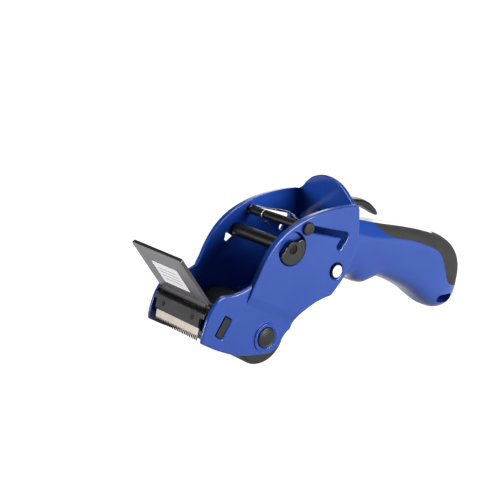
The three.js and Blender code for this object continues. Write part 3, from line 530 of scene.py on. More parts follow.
def ring_skin(name, rings):
    """A solid through rings of equally many points, closed by a flat face at each end."""
    seg, count = len(rings[0]), len(rings)
    faces = []
    for k in range(count - 1):
        faces += bridge(k * seg, (k + 1) * seg, seg)
    faces.append(tuple(range(seg))[::-1])
    faces.append(tuple((count - 1) * seg + i for i in range(seg)))
    return new_obj(name, [v for ring in rings for v in ring], faces)


def loft(name, rows, seg, power, inset=0.0):
    """Superellipse sections through rows of top x, z, bottom x, z and half width."""
    rings = []
    for top_x, top_z, low_x, low_z, half_width in rows:
        length = hypot(top_x - low_x, top_z - low_z)
        up_x, up_z = (top_x - low_x) / length, (top_z - low_z) / length
        height = length / 2 - inset
        width = max(half_width - inset, 0.6)
        ring = []
        for i in range(seg):
            a = 2 * pi * i / seg
            across = copysign(abs(cos(a)) ** (2 / power), cos(a))
            up = copysign(abs(sin(a)) ** (2 / power), sin(a))
            ring.append((
                (top_x + low_x) / 2 + up_x * up * height,
                across * width,
                (top_z + low_z) / 2 + up_z * up * height,
            ))
        rings.append(ring)
    obj = ring_skin(name, rings)
    with mesh_edit(obj) as bm:
        bmesh.ops.triangulate(bm, faces=[f for f in bm.faces if len(f.verts) > 4])
    return obj


def tube(name, points, radius, seg, per):
    """A round wire along a spline."""
    rows = spline_rows(points, per)
    rings, side = [], None
    for i, point in enumerate(rows):
        before, after = Vector(rows[max(i - 1, 0)]), Vector(rows[min(i + 1, len(rows) - 1)])
        along = (after - before).normalized()
        if side is None:
            side = along.orthogonal().normalized()
        side = (side - along * side.dot(along)).normalized()
        other = along.cross(side)
        angles = [2 * pi * k / seg for k in range(seg)]
        rings.append([Vector(point) + (side * cos(a) + other * sin(a)) * radius for a in angles])
    return ring_skin(name, rings)


def leaning(centre, deg, y=0):
    """Stands a piece at (x, z) with its own Z along a direction in the side view."""
    turn = Matrix.Rotation(-radians(deg - 90), 4, "Y")
    return Matrix.Translation((centre[0], y, centre[1])) @ turn


def drop(obj):
    mesh = obj.data
    bpy.data.objects.remove(obj)
    if mesh.users == 0:
        bpy.data.meshes.remove(mesh)


def copy_of(obj, name):
    copy = obj.copy()
    copy.data = obj.data.copy()
    copy.name = name
    scene.collection.objects.link(copy)
    return copy


def boolean(obj, other, operation, keep=False):
    """Applies one boolean to obj, and drops the other piece unless keep is set."""
    modifier = obj.modifiers.new("cut", "BOOLEAN")
    modifier.operation = operation
    modifier.solver = "MANIFOLD"
    modifier.object = other
    depsgraph = bpy.context.evaluated_depsgraph_get()
    depsgraph.update()
    mesh = bpy.data.meshes.new_from_object(obj.evaluated_get(depsgraph))
    obj.modifiers.clear()
    old = obj.data
    obj.data = mesh
    bpy.data.meshes.remove(old)
    if not keep:
        drop(other)
    return obj


def union(obj, *others):
    for other in others:
        boolean(obj, other, "UNION")
    return obj


def cut(obj, *others):
    for other in others:
        boolean(obj, other, "DIFFERENCE")
    return obj


def meet(obj, other, keep=False):
    return boolean(obj, other, "INTERSECT", keep)


def finish(obj, name, body, material, node, angle=32, weighted=True):
    """Takes a piece from mm to the CAD's frame, and rides it on its body for a CAD node."""
    with mesh_edit(obj) as bm:
        bmesh.ops.remove_doubles(bm, verts=bm.verts, dist=2e-4)
        bmesh.ops.dissolve_degenerate(bm, edges=bm.edges, dist=2e-4)
    mesh = obj.data
    mesh.transform(TO_ROW)
    obj.name = name
    mesh.name = name
    mesh.materials.clear()
    mesh.materials.append(material)
    for face in mesh.polygons:
        face.use_smooth = True
        face.material_index = 0
    mesh.set_sharp_from_angle(angle=radians(angle))
    if weighted:
        modifier = obj.modifiers.new("weighted", "WEIGHTED_NORMAL")
        modifier.keep_sharp = True
        modifier.weight = 60
    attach(obj, body)
    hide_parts(node)
    return obj


def paint(obj, material, chosen):
    """Gives a second material to the faces whose centre passes chosen()."""
    obj.data.materials.append(material)
    for face in obj.data.polygons:
        if chosen(face.center):
            face.material_index = 1


# ------------------------------------------------------------------ materials
def srgb(*rgb):
    """8-bit sRGB to linear RGBA."""
    parts = [c / 255 for c in rgb]
    linear = [c / 12.92 if c <= 0.04045 else ((c + 0.055) / 1.055) ** 2.4 for c in parts]
    return (*linear, 1.0)


def shade(colour, factor, add=0.0):
    return tuple(min(1.0, c * factor + add) for c in colour[:3]) + (1.0,)


class Nodes:
    """A new material with a Principled shader, and short calls for its nodes."""

    def __init__(self, name):
        self.mat = bpy.data.materials.new(name)
        self.mat.use_nodes = True
        self.tree = self.mat.node_tree
        self.tree.nodes.clear()
        self.out = self.node("ShaderNodeOutputMaterial")
        self.bsdf = self.node("ShaderNodeBsdfPrincipled")
        self.link(self.bsdf.outputs[0], self.out.inputs["Surface"])
        self.coord = self.node("ShaderNodeTexCoord").outputs["Object"]

    def link(self, output, socket):
        self.tree.links.new(output, socket)

    def feed(self, socket, value):
        """Links an output to a socket, or sets the socket to a plain value."""
        if isinstance(value, bpy.types.NodeSocket):
            self.link(value, socket)
        else:
            socket.default_value = value

    def node(self, kind, **properties):
        node = self.tree.nodes.new(kind)
        for key, value in properties.items():
            setattr(node, key, value)
        return node

    def mapping(self, scale, rotation=(0, 0, 0)):
        node = self.node("ShaderNodeMapping")
        node.inputs["Scale"].default_value = scale
        node.inputs["Rotation"].default_value = rotation
        self.link(self.coord, node.inputs["Vector"])
        return node.outputs["Vector"]

    def noise(self, scale, detail=4.0, rough=0.6, vector=None):
        node = self.node("ShaderNodeTexNoise")
        node.inputs["Scale"].default_value = scale
        node.inputs["Detail"].default_value = detail
        node.inputs["Roughness"].default_value = rough
        self.link(vector or self.coord, node.inputs["Vector"])
        return node.outputs["Fac"]

    def remap(self, value, within=(0.3, 0.7), out=(0.0, 1.0)):
        """Maps the range within to the range out, clamped."""
        node = self.node("ShaderNodeMapRange")
        limits = zip(("From Min", "From Max", "To Min", "To Max"), (*within, *out))
        for key, limit in limits:
            node.inputs[key].default_value = limit
        self.link(value, node.inputs["Value"])
        return node.outputs["Result"]

    def mix(self, factor, a, b):
        node = self.node("ShaderNodeMix", data_type="RGBA")
        for index, value in ((0, factor), (6, a), (7, b)):
            self.feed(node.inputs[index], value)
        return node.outputs[2]

    def math(self, operation, a, b=0.0):
        node = self.node("ShaderNodeMath", operation=operation)
        self.feed(node.inputs[0], a)
        self.feed(node.inputs[1], b)
        return node.outputs[0]

    def product(self, first, *others):
        for other in others:
            first = self.math("MULTIPLY", first, other)
        return first

    def bump(self, height, distance, strength, after=None):
        node = self.node("ShaderNodeBump")
        node.inputs["Strength"].default_value = strength
        node.inputs["Distance"].default_value = distance
        self.link(height, node.inputs["Height"])
        if after is not None:
            self.link(after, node.inputs["Normal"])
        return node.outputs["Normal"]

    def edges(self):
        """1 along corners, 0 on flats: how far a bevelled normal turns from the true one."""
        bevel = self.node("ShaderNodeBevel", samples=3)
        bevel.inputs["Radius"].default_value = 0.0006
        geometry = self.node("ShaderNodeNewGeometry")
        dot = self.node("ShaderNodeVectorMath", operation="DOT_PRODUCT")
        self.link(bevel.outputs["Normal"], dot.inputs[0])
        self.link(geometry.outputs["Normal"], dot.inputs[1])
        return self.remap(dot.outputs["Value"], within=(0.75, 0.98), out=(1.0, 0.0))

    def axis(self, name):
        node = self.node("ShaderNodeSeparateXYZ")
        self.link(self.coord, node.inputs[0])
        return node.outputs[name]

    def seam(self, half=0.00011):
        """1 on the parting line of the two halves, 0 away from it."""
        return self.math("LESS_THAN", self.math("ABSOLUTE", self.axis("Y")), half)

    def set(self, **values):
        for key, value in values.items():
            self.feed(self.bsdf.inputs[key.replace("_", " ")], value)


def plastic(name, dark, light, rough, grain=0.00002, grain_scale=2600.0, coat=0.0,
            edge=0.35, ior=1.5, seam=False):
    """Moulded plastic: cloudy tone, fine mould grain, scuffs, and a painted highlight along the
    edges.
    """
    m = Nodes(name)
    dark, light = srgb(*dark), srgb(*light)
    cloud = m.noise(scale=28, detail=3, rough=0.5)
    fine = m.noise(scale=grain_scale, detail=2, rough=0.5)
    scuff_map = m.mapping(scale=(14, 120, 60), rotation=(0.3, 0.5, 0.2))
    scuff_noise = m.noise(scale=9, detail=8, rough=0.62, vector=scuff_map)
    scuff = m.remap(scuff_noise, within=(0.60, 0.72))
    base = m.mix(m.remap(cloud), dark, light)
    # painted highlight: the edges take a paler tone of the light colour, standing in for light
    # caught on the rims
    edge_highlight = shade(light, 1.6, add=0.02)
    base = m.mix(m.product(m.edges(), edge), base, edge_highlight)
    if seam:
        base = m.mix(m.product(m.seam(), 0.75), base, shade(dark, 0.2))
    roughness = m.remap(m.noise(scale=60), out=rough)
    roughness = m.math("ADD", roughness, m.product(scuff, 0.07))
    normal = m.bump(fine, distance=grain, strength=0.6)
    ripple = m.noise(scale=190, detail=3, rough=0.5)
    normal = m.bump(ripple, distance=0.00001, strength=0.4, after=normal)
    m.set(Base_Color=base, Roughness=roughness, IOR=ior, Coat_Weight=coat,
          Coat_Roughness=0.12, Normal=normal)
    return m.mat


def rubber(name, dark, light, grain, scale, rough):
    """Matt rubber with a cellular grain and a painted highlight along its edges."""
    m = Nodes(name)
    dark, light = srgb(*dark), srgb(*light)
    cells = m.node("ShaderNodeTexVoronoi")
    cells.inputs["Scale"].default_value = scale
    m.link(m.coord, cells.inputs["Vector"])
    base = m.mix(m.remap(m.noise(scale=40)), dark, light)
    # painted highlight: paler edges standing in for light caught on them
    base = m.mix(m.product(m.edges(), 0.4), base, shade(light, 2.2))
    roughness = m.remap(m.noise(scale=90), out=rough)
    normal = m.bump(cells.outputs["Distance"], distance=grain, strength=0.7)
    ripple = m.noise(scale=320, detail=3)
    normal = m.bump(ripple, distance=0.00005, strength=0.6, after=normal)
    m.set(Base_Color=base, Roughness=roughness, Sheen_Weight=0.12, Normal=normal)
    return m.mat


def steel(name, dark, light, lay, lay_scale=14.0, rough=(0.22, 0.38), depth=0.000015):
    """Drawn or ground steel: fine parallel lay and a cloudy tone."""
    m = Nodes(name)
    dark, light = srgb(*dark), srgb(*light)
    lines = m.noise(scale=lay_scale, detail=6, rough=0.7, vector=m.mapping(scale=lay))
    cloud = m.noise(scale=70)
    base = m.mix(m.remap(lines), dark, light)
    base = m.mix(m.remap(cloud, within=(0.35, 0.75), out=(0.0, 0.35)), base, shade(dark, 0.7))
    m.set(Base_Color=base, Metallic=1.0, Roughness=m.remap(lines, out=rough))
    m.set(Normal=m.bump(lines, distance=depth, strength=0.6))
    return m.mat


def blade_steel():
    """Brushed steel with painted shade that darkens it downwards into the teeth."""
    m = Nodes("blade_steel")
    lines = m.noise(scale=4, detail=5, rough=0.75, vector=m.mapping(scale=(6, 900, 20)))
    cross = m.noise(scale=3, vector=m.mapping(scale=(40, 90, 700)))
    cloud = m.noise(scale=55)
    streaks = m.remap(lines, within=(0.25, 0.75))
    base = m.mix(streaks, srgb(160, 150, 142), srgb(200, 190, 180))
    clouded = m.remap(cloud, within=(0.4, 0.8), out=(0.0, 0.4))
    base = m.mix(clouded, base, srgb(140, 134, 130))
    heights = ((7.2 + TYRE_R) / 1000, (8.6 + TYRE_R) / 1000)  # above the ground, in metres
    # painted shade: the steel turns dark towards the tooth tips, where the teeth lie in shadow
    painted_tooth_shade = m.remap(m.axis("Z"), within=heights, out=(1.0, 0.0))
    base = m.mix(painted_tooth_shade, base, srgb(34, 32, 30))
    m.set(Base_Color=base, Metallic=0.85, Roughness=m.remap(lines, out=(0.34, 0.5)))
    normal = m.bump(lines, distance=0.00003, strength=0.7)
    m.set(Normal=m.bump(cross, distance=0.00001, strength=0.4, after=normal))
    return m.mat


def label_paper(origin, across, down):
    """Paper with plain ruled bars; across and down are the label's edges from origin."""
    m = Nodes("label_paper")
    from_origin = m.node("ShaderNodeVectorMath", operation="SUBTRACT")
    m.link(m.coord, from_origin.inputs[0])
    from_origin.inputs[1].default_value = tuple(origin)

    def along(edge):
        """0 to 1 along an edge of the label."""
        dot = m.node("ShaderNodeVectorMath", operation="DOT_PRODUCT")
        m.link(from_origin.outputs[0], dot.inputs[0])
        dot.inputs[1].default_value = tuple(edge.normalized())
        return m.remap(dot.outputs["Value"], within=(0.0, edge.length))

    def between(value, low, high):
        return m.product(m.math("GREATER_THAN", value, low), m.math("LESS_THAN", value, high))

    s, t = along(across), along(down)
    bar_rows = 6.0
    bar = between(m.math("FRACT", m.product(t, bar_rows)), 0.42, 0.70)
    inside = m.product(between(s, 0.12, 0.86), between(t, 0.12, 0.88))
    ink = m.product(bar, inside, 0.8)
    fibre = m.noise(scale=1400, rough=0.7)
    paper = m.mix(m.remap(fibre), srgb(246, 246, 247), srgb(252, 252, 252))
    m.set(
        Base_Color=m.mix(ink, paper, srgb(150, 152, 156)),
        Roughness=m.remap(fibre, out=(0.42, 0.58)),
        Normal=m.bump(fibre, distance=0.00001, strength=0.5),
        # painted light: the label glows a little so that it reads brighter
        Emission_Color=m.mix(ink, (1, 1, 1, 1), (0.05, 0.05, 0.06, 1)),
        Emission_Strength=0.2,
    )
    return m.mat


def floor_paper():
    """A lit sweep: white in view and in reflections, but throwing less light up."""
    m = Nodes("floor_paper")
    tone = m.noise(scale=3, detail=3, rough=0.5)
    paper = m.mix(tone, srgb(250, 250, 251), srgb(253, 253, 253))
    ray = m.node("ShaderNodeLightPath").outputs
    m.set(
        Base_Color=m.mix(ray["Is Diffuse Ray"], paper, srgb(120, 120, 122)),
        Roughness=0.8,
        Specular_IOR_Level=0.2,
    )
    glow = m.node("ShaderNodeEmission")
    glow.inputs["Color"].default_value = (1, 1, 1, 1)
    glow.inputs["Strength"].default_value = 1.25
    blend = m.node("ShaderNodeMixShader")
    seen = m.product(ray["Is Camera Ray"], 0.82)
    mirrored = m.product(ray["Is Glossy Ray"], 0.2)
    m.link(m.math("MAXIMUM", seen, mirrored), blend.inputs[0])
    m.link(m.bsdf.outputs[0], blend.inputs[1])
    m.link(glow.outputs[0], blend.inputs[2])
    m.link(blend.outputs[0], m.out.inputs["Surface"])
    return m.mat


BLUE = plastic("body_blue", (26, 68, 160), (32, 76, 168), rough=(0.15, 0.22), coat=0.2,
               edge=0.4, seam=True)
BLACK = plastic("black_plastic", (12, 12, 13), (20, 20, 21), rough=(0.26, 0.38),
                grain=0.00003, grain_scale=2200, edge=0.3)
KNOB = plastic("knob_black", (6, 6, 6), (12, 11, 10), rough=(0.16, 0.26),
               grain=0.000015, grain_scale=2200, coat=0.3, edge=0.25)
FLAP = plastic("flap_sheet", (40, 38, 40), (50, 48, 50), rough=(0.22, 0.32),
               grain=0.000008, grain_scale=3000, coat=0.1, edge=0.3, ior=1.6)
# painted reflection: a grey tone for the flap's front face, standing in for the bright floor's
# sheen on the black plastic
FLAP_SHEEN = plastic("flap_satin_face", (112, 108, 112), (124, 120, 124), rough=(0.24, 0.34),
                    grain=0.000008, grain_scale=3000, coat=0.2, edge=0.2, ior=1.6)
CAP = plastic("cap_black", (16, 15, 13), (26, 24, 21), rough=(0.3, 0.42), edge=0.3)
GREY = plastic("core_grey", (86, 88, 92), (100, 102, 106), rough=(0.4, 0.5))
NYLON = plastic("plug_nylon", (243, 238, 228), (250, 247, 240), rough=(0.30, 0.42), edge=0.1)
BUSH = plastic("bush_nylon", (206, 206, 198), (216, 216, 208), rough=(0.35, 0.5), edge=0.1)
INLAY = plastic("inlay_white", (236, 237, 240), (246, 247, 249), rough=(0.28, 0.38),
                grain=0.000015, coat=0.2, edge=0.1)
RUBBER = rubber("grip_rubber", (24, 23, 22), (40, 39, 37), grain=0.00007, scale=1500,
                rough=(0.62, 0.78))
TYRE = rubber("roller_rubber", (14, 14, 14), (24, 24, 24), grain=0.00003, scale=900,
              rough=(0.5, 0.64))
ROD = steel("rod_steel", (150, 150, 154), (196, 196, 200), lay=(220, 8, 220))
DARK_SCREW = steel("blackened_screw", (38, 36, 33), (58, 55, 50), lay=(160, 160, 160),
                   lay_scale=6, rough=(0.28, 0.42))
SCREW = steel("screw_steel", (150, 148, 142), (190, 188, 180), lay=(160, 160, 160), lay_scale=6)
STRIP = steel("strip_steel", (228, 230, 234), (252, 252, 255), lay=(240, 6, 240),
              rough=(0.14, 0.26), depth=0.00002)
BLADE = blade_steel()


# ------------------------------------------------------------------ side plates
def slot_outline():
    """The J-shaped slot as one outline, walked round the lower face of a joined plate."""
    start = polar(CORE_ROD, -1.2, SLOT_DIR)
    bend = polar(CORE_ROD, SLOT_RUN, SLOT_DIR)
    tip = polar(bend, SLOT_HOOK, SLOT_DIR + SLOT_HOOK_TURN)
    slot = plate("slot_run", stadium(start, bend, SLOT_W), 0, 1)
    union(slot, plate("slot_hook", stadium(bend, tip, SLOT_W), 0, 1))

    def low(vert):
        return abs(vert.co.y) < 1e-4

    links = {}
    with mesh_edit(slot) as bm:
        bmesh.ops.remove_doubles(bm, verts=bm.verts, dist=1e-3)
        for edge in bm.edges:
            a, b = edge.verts
            if low(a) and low(b):
                flat = [f for f in edge.link_faces if all(low(v) for v in f.verts)]
                if len(flat) == 1:
                    links.setdefault(a.index, []).append(b.index)
                    links.setdefault(b.index, []).append(a.index)
        places = {v.index: (v.co.x, v.co.z) for v in bm.verts}
    first = next(iter(links))
    loop, previous, current = [first], None, first
    while True:
        following = [k for k in links[current] if k != previous]
        if not following or following[0] == first:
            break
        previous, current = current, following[0]
        loop.append(current)
    drop(slot)
    return smooth([places[i] for i in loop], sigma=0.45, step=0.35)


def tab_outline(half_length, half_width, radius):
    tab = rect(-half_length, half_length, -half_width, half_width)
    return rounded(placed(tab, TAB_AT, TAB_DIR), radius)


def fade_cutter(side):
    """Takes the drum's raised face smoothly down to the nose's level."""
    section = [(-60, FADE_LOW)]
    for k in range(25):
        t = k / 24
        section.append((
            -1.5 + (FADE_RUN + 2.5) * t,
            FADE_LOW + FADE_RISE * t * t * (3 - 2 * t),
        ))
    section += [(FADE_RUN + 1.0, 33), (-60, 33)]
    co, si = cos(radians(FADE_DIR)), sin(radians(FADE_DIR))

    def place(u, v, h):
        return (FADE_AT[0] + co * h - si * u, side * v, FADE_AT[1] + si * h + co * u)

    return prism("fade", section, -60, 100, place)


def side_shell(side, nose_outline, drum_outline, slot):
    window = resample(tab_outline(6.7, 2.95, 0.5), 0.5)
    shell = side_plate("nose", side, nose_outline, PLATE_IN, NOSE_OUT, (0.7, 1.2),
                       [window, circle(AXLE, 6.8, 72)])
    union(shell, lathe("axle_rim", AXLE, rounded(AXLE_RIM, 0.15, 3), closed=True, side=side))
    drum = side_plate("drum_plate", side, drum_outline, PLATE_IN, DRUM_OUT, (0.6, 1.1),
                      [slot, circle(PLUG, 5.4, 48)])
    cut(drum, fade_cutter(side))
    # cup round the end of the tension rod
    cut(
        drum,
        lathe("cup_cut", TENSION_ROD, rounded(CUP, 0.45, closed=False), side=side),
        cylinder("cup_hole", TENSION_ROD, 2.3, *sorted((20 * side, 34 * side)), 32),
    )
    if side > 0:
        opening = rounded(placed(CUP_WINDOW, TENSION_ROD), 0.35)
        cut(drum, plate("cup_window", opening, 20, 29))
    union(shell, drum)
    union(shell, lathe("ring", AXLE, rounded(AXLE_RING, 0.35), closed=True, side=side))
    return union(shell, lathe("boss", AXLE, AXLE_BOSS, seg=48, closed=True, side=side))


# ------------------------------------------------------------------ rear wall and handle
def rear_wall():
    foot = [(BODY_HALF, 52), (BODY_HALF, 74.9), (26.6, 75.5)]
    left = [(-y, z) for y, z in foot + ARCH]
    outline = left + [(0, ARCH_TOP)] + ARCH[::-1] + foot[::-1]
    feet = [(-BODY_HALF, 52, 6), (BODY_HALF, 52, 6)]
    outline = smooth(outline, sigma=1.0, step=0.6, sharp=feet, sharp_sigma=0.3)

    def place(u, v, h):
        return (WALL_X + h - (v - WALL_Z) * WALL_LEAN, u, v)

    wall = prism("wall", outline, -WALL_T, 0.0, place, (0.9, 0.9), 5)
    section = arc(CRADLE_AT, CRADLE_R, CRADLE_FRONT, CRADLE_REAR, 90)
    section += arc(CRADLE_AT, CRADLE_R + CRADLE_T, CRADLE_REAR, CRADLE_FRONT, 90)
    # round front lip
    lip = polar(CRADLE_AT, CRADLE_R + CRADLE_T / 2, CRADLE_FRONT)
    section += arc(lip, CRADLE_T / 2, CRADLE_FRONT - 22.5, CRADLE_FRONT - 157.5, 6)
    return union(wall, plate("cradle", section, -BODY_HALF, BODY_HALF))


def handle_loft(inset, seg=64, per=6):
    """The handle's solid, drawn in by inset all round and at its rear end."""
    handle = loft("loft", spline_rows(HANDLE, per), seg, power=3.2, inset=inset)
    if inset:
        shifted = copy_of(handle, "copy")
        shifted.data.transform(Matrix.Translation((-inset * 0.95, 0, inset * 0.1)))
        meet(handle, shifted)
    return handle


def grip_zone(shrink):
    """Side view of the grips' groove, shrunk for the grips themselves."""
    line = spline_rows(GRIP_LINE, 6)
    out = []
    for i, (x, z) in enumerate(line):
        a, b = line[max(i - 1, 0)], line[min(i + 1, len(line) - 1)]
        along = Vector((b[0] - a[0], b[1] - a[1])).normalized()
        out.append((x - along.y * shrink, z + along.x * shrink))
    outline = out + [(206, 60), (104.6 + shrink, 62)]
    return plate("grip_zone", outline, -20, 20)


def inlay_zone(inset):
    """The block that holds the top inlay, with corners rounded in plan."""
    x0, x1, half = INLAY_X[0] + inset, INLAY_X[1] - inset, INLAY_HALF - inset
    block = plate("inlay_zone", [(x0, 70), (x0, 50), (x1, 30), (x1, 60)], -half, half)
    plan = rounded(rect(x0, x1, -half, half), INLAY_CORNER - inset, 10)
    return meet(block, prism("inlay_plan", plan, 25, 75, lambda u, v, h: (u, v, h)))


def drum_room(name, inset, rear):
    """Everything above the cradle and in front of the rear points."""
    floor_line = arc(CRADLE_AT, CRADLE_R + CRADLE_T - inset, -100, -5, 60)
    return plate(name, floor_line + rear + [(0, 95), (0, 40)], -40, 40)


def hang_outline(rear_radius, front_radius, sigma, step):
    """The hanging hole at the rear end of the handle, or the loop round it."""
    rear = arc((185.4, -12.6), rear_radius, -60, 60, 12)
    front = arc((176.6, -11.2), front_radius, 110, 250, 12)
    return smooth(rear + front, sigma, step)


def keep_side(obj, side, x0):
    return meet(obj, box("keep", x0, 230, *sorted((0, 50 * side)), -40, 120))


def build_body(handle):
    skin = handle_loft(2.2, 40, 4)
    core = handle_loft(4.6, 32, 3)

    upper = copy_of(handle, "upper")
    cut(upper, grip_zone(0.0), inlay_zone(0.0))
    union(upper, copy_of(skin, "skin_copy"))
    cut(upper, drum_room("interior", 0.5, [(73.3, 62), (73.3, 68.0), (72.0, 95)]))

    nose_outline = smooth(NOSE, sigma=1.9, step=0.7, sharp=SHARP, sharp_sigma=0.5)
    drum_outline = smooth(DRUM, sigma=2.0, step=0.7, sharp=SHARP, sharp_sigma=0.5)
    slot = slot_outline()
    shells = [side_shell(side, nose_outline, drum_outline, slot) for side in (-1, 1)]
    body = union(*shells, rear_wall())

    # hollow handle with screw posts and the hanging loop
    cavity = copy_of(core, "cavity")
    cut(cavity, drum_room("cavity_front", 0.4, [(75.0, 62), (75.0, 95)]))
    for centre in BODY_SCREWS:
        post = cylinder("post", centre, 3.9, -13.4, 13.4, 36)
        cut(cavity, meet(post, skin, keep=True))
    hang_loop = plate("hang_loop", hang_outline(7.2, 6.0, 1.0, 0.6), -14, 14)
    meet(hang_loop, skin, keep=True)
    cut(upper, cavity)
    union(upper, hang_loop)
    union(body, upper)

    for y0, y1 in ((-11, -7.6), (7.6, 11)):
        union(body, plate("ear", rounded(EAR, 0.8), y0, y1, (0.4, 0.4), 3))
    hang_hole = hang_outline(4.4, 3.2, 0.8, 0.5)
    cut(
        body,
        plate("hang_hole", hang_hole, -20, 20),
        plate("hang_hole_left", hang_hole, -20, -11.2),  # the left mouth once more
        cylinder("pin_seat", LEVER_PIN, 1.7, -9.6, 9.6, 32),
        box("brake_window", 60, 73.8, -7.2, 7.2, 57.0, 64.9),
        box("lever_room", WALL_X, 80, -7.2, 7.2, 57.2, 74.4),
        box("under", 150, 220, -30, 30, -40, -19),
    )
    for centre in BODY_SCREWS:
        cut(
            body,
            cylinder("screw_hole", centre, 1.7, -9.5, 20, 24),
            cylinder("screw_seat", centre, 3.3, 9.6, 20, 40),
        )

    left = keep_side(copy_of(body, "half_l"), -1, -80)
    right = keep_side(body, 1, -80)
    for half, side in ((left, "left"), (right, "right")):
        finish(half, f"{side}_body", "frame", BLUE, f"{side}_body_shell", angle=34)
    drop(skin)
    drop(core)


def build_grips(handle):
    left = meet(copy_of(handle, "grip"), grip_zone(GAP))
    cut(left, handle_loft(SKIN_INSET, 40, 4), inlay_zone(-GAP))
    right = copy_of(left, "grip_r")
    for grip, (sign, side) in zip((left, right), SIDES):
        keep_side(grip, sign, 80)
    for grip, (_, side) in zip((left, right), SIDES):
        finish(grip, f"{side}_grip", "frame", RUBBER, f"{side}_rubber_grip",
               angle=40)


def build_inlay(handle):
    inlay = meet(copy_of(handle, "inlay"), inlay_zone(GAP))
    cut(inlay, handle_loft(SKIN_INSET, 40, 4))
    finish(inlay, "top_inlay", "frame", INLAY, "handle_top_inlay", angle=40)


# ------------------------------------------------------------------ blade
def rivet(y, radius, half):
    """A short pin through the blade, square to its face."""
    pin = cylinder("rivet", (0, 0), radius, -half, half, 32)
    pin.data.transform(leaning(RIVET_AT, BLADE_DIR, y) @ Matrix.Rotation(radians(90), 4, "Z"))
    return pin


def build_blade_bar():
    bar = plate("holder", rounded(HOLDER, 0.7), -HOLDER_HALF, HOLDER_HALF, (0.4, 0.4), 3)
    tab = plate("tab", tab_outline(6.35, 2.55, 0.4), -28.7, 28.7, (0.35, 0.35), 3)
    ear = [(-36.7, 20.4)] + arc(FLAP_PIN, 2.6, -20, 210, 24) + [(-42.0, 20.4)]
    union(
        bar,
        tab,
        plate("ear_l", ear, -HOLDER_HALF, -22.3, (0.3, 0.3), 3),
        plate("ear_r", ear, 22.3, HOLDER_HALF, (0.3, 0.3), 3),
    )
    corner = rounded(rect(-50, -39.4, 0, 19.8), 0.5)
    cut(bar, plate("corner_l", corner, -30, -22.2), plate("corner_r", corner, 22.2, 30))
    blade_slot = placed(rect(-10.2, 7.9, -0.65, 0.65), BLADE_MID, BLADE_DIR)
    pocket = rounded(POCKET, 0.6, 3)
    cut(
        bar,
        plate("blade_slot", blade_slot, -22.4, 22.4),
        cylinder("pin_bore", FLAP_PIN, 1.55, -25.6, 25.6, 32),
        cylinder("barrel_room", FLAP_PIN, EAR_ROOM_R, -22.3, 22.3, 48),
        # moulded pockets in the rear of the bar
        *[plate("pocket", pocket, y - 3.4, y + 3.4) for y in (-18.5, -9.25, 0, 9.25, 18.5)],
    )
    cut(bar, rivet(-RIVET_Y, 1.6, 2.9), rivet(RIVET_Y, 1.6, 2.9))
    finish(bar, "blade_bar", "frame", BLACK, "blade_holder")


def build_blade():
    pitch = 2 * BLADE_HALF / TEETH
    outline = [(-BLADE_HALF, BLADE_TOP), (-BLADE_HALF, TOOTH_ROOT)]
    for i in range(TEETH):
        start = -BLADE_HALF + i * pitch
        outline += [(start + part * pitch, height) for part, height in TOOTH]
    outline += [(BLADE_HALF, TOOTH_ROOT), (BLADE_HALF, BLADE_TOP)]
    holes = [circle((y, 3.35), 1.6, 32) for y in (-RIVET_Y, RIVET_Y)]
    lean = leaning(BLADE_MID, BLADE_DIR)
    blade = prism("blade", outline, -0.35, 0.35, lambda u, v, h: lean @ Vector((h, u, v)),
                  holes=holes)
    finish(blade, "toothed_blade", "frame", BLADE, "cutting_blade",
           weighted=False)


# ------------------------------------------------------------------ flap
# Built upright at its pin: across the flap is y, up the flap is z, the front face is at low x.
FLAP_STAND = leaning(FLAP_PIN, FLAP_LEAN)


def across_flap(u, v, h):
    return (h, u, v)


def build_flap():
    panel = rounded(rect(-FLAP_HALF, FLAP_HALF, 0.2, FLAP_LEN - 0.75), [0.6, 0.6, 1.7, 1.7], 8)
    flap = prism("flap", panel, -FLAP_T / 2 - FLAP_OFFSET, FLAP_T / 2 - FLAP_OFFSET,
                 across_flap, (0.35, 0.45))
    union(flap, cylinder("barrel", (0, 0), 2.8, -BARREL_HALF, BARREL_HALF, 64, 0.3))
    cut(
        flap,
        cylinder("bore", (0, 0), 1.5, -30, 30, 32),
        cylinder("ear_room_l", (0, 0), EAR_ROOM_R, -26, -BARREL_HALF, 48),
        cylinder("ear_room_r", (0, 0), EAR_ROOM_R, BARREL_HALF, 26, 48),
    )
    with mesh_edit(flap) as bm:
        bmesh.ops.dissolve_limit(bm, angle_limit=radians(0.4), verts=bm.verts, edges=bm.edges)
    flap.data.transform(FLAP_STAND)
    finish(flap, "flap_panel", "flap", FLAP, "tape_flap")
    lean = radians(FLAP_LEAN)
    forward = Vector((-sin(lean), 0, cos(lean)))
    pin = TO_ROW @ Vector((FLAP_PIN[0], 0, FLAP_PIN[1]))
    # painted reflection: the front face takes the grey tone of the floor's sheen
    paint(flap, FLAP_SHEEN, lambda centre: 0.00105 < (centre - pin).dot(forward) < 0.00145)


def build_label():
    outline = rounded(rect(*LABEL_Y, *LABEL_UP), 0.8, 6)
    label = prism("label", outline, -FLAP_T / 2 - 0.24, -FLAP_T / 2 - 0.12, across_flap)
    label.data.transform(FLAP_STAND)

    def corner(y, up):
        return TO_ROW @ (FLAP_STAND @ Vector((-1.4, y, up)))

    origin = corner(LABEL_Y[1], LABEL_UP[1])
    across = corner(LABEL_Y[0], LABEL_UP[1]) - origin
    down = corner(LABEL_Y[1], LABEL_UP[0]) - origin
    finish(label, "flap_label_panel", "flap", label_paper(origin, across, down),
           "flap_label", weighted=False)


def build_flap_pin():
    pin = cylinder("pin", FLAP_PIN, 1.25, -25.3, 25.3, 40, 0.25)
    finish(pin, "flap_pin", "frame", ROD, "flap_hinge_pin")


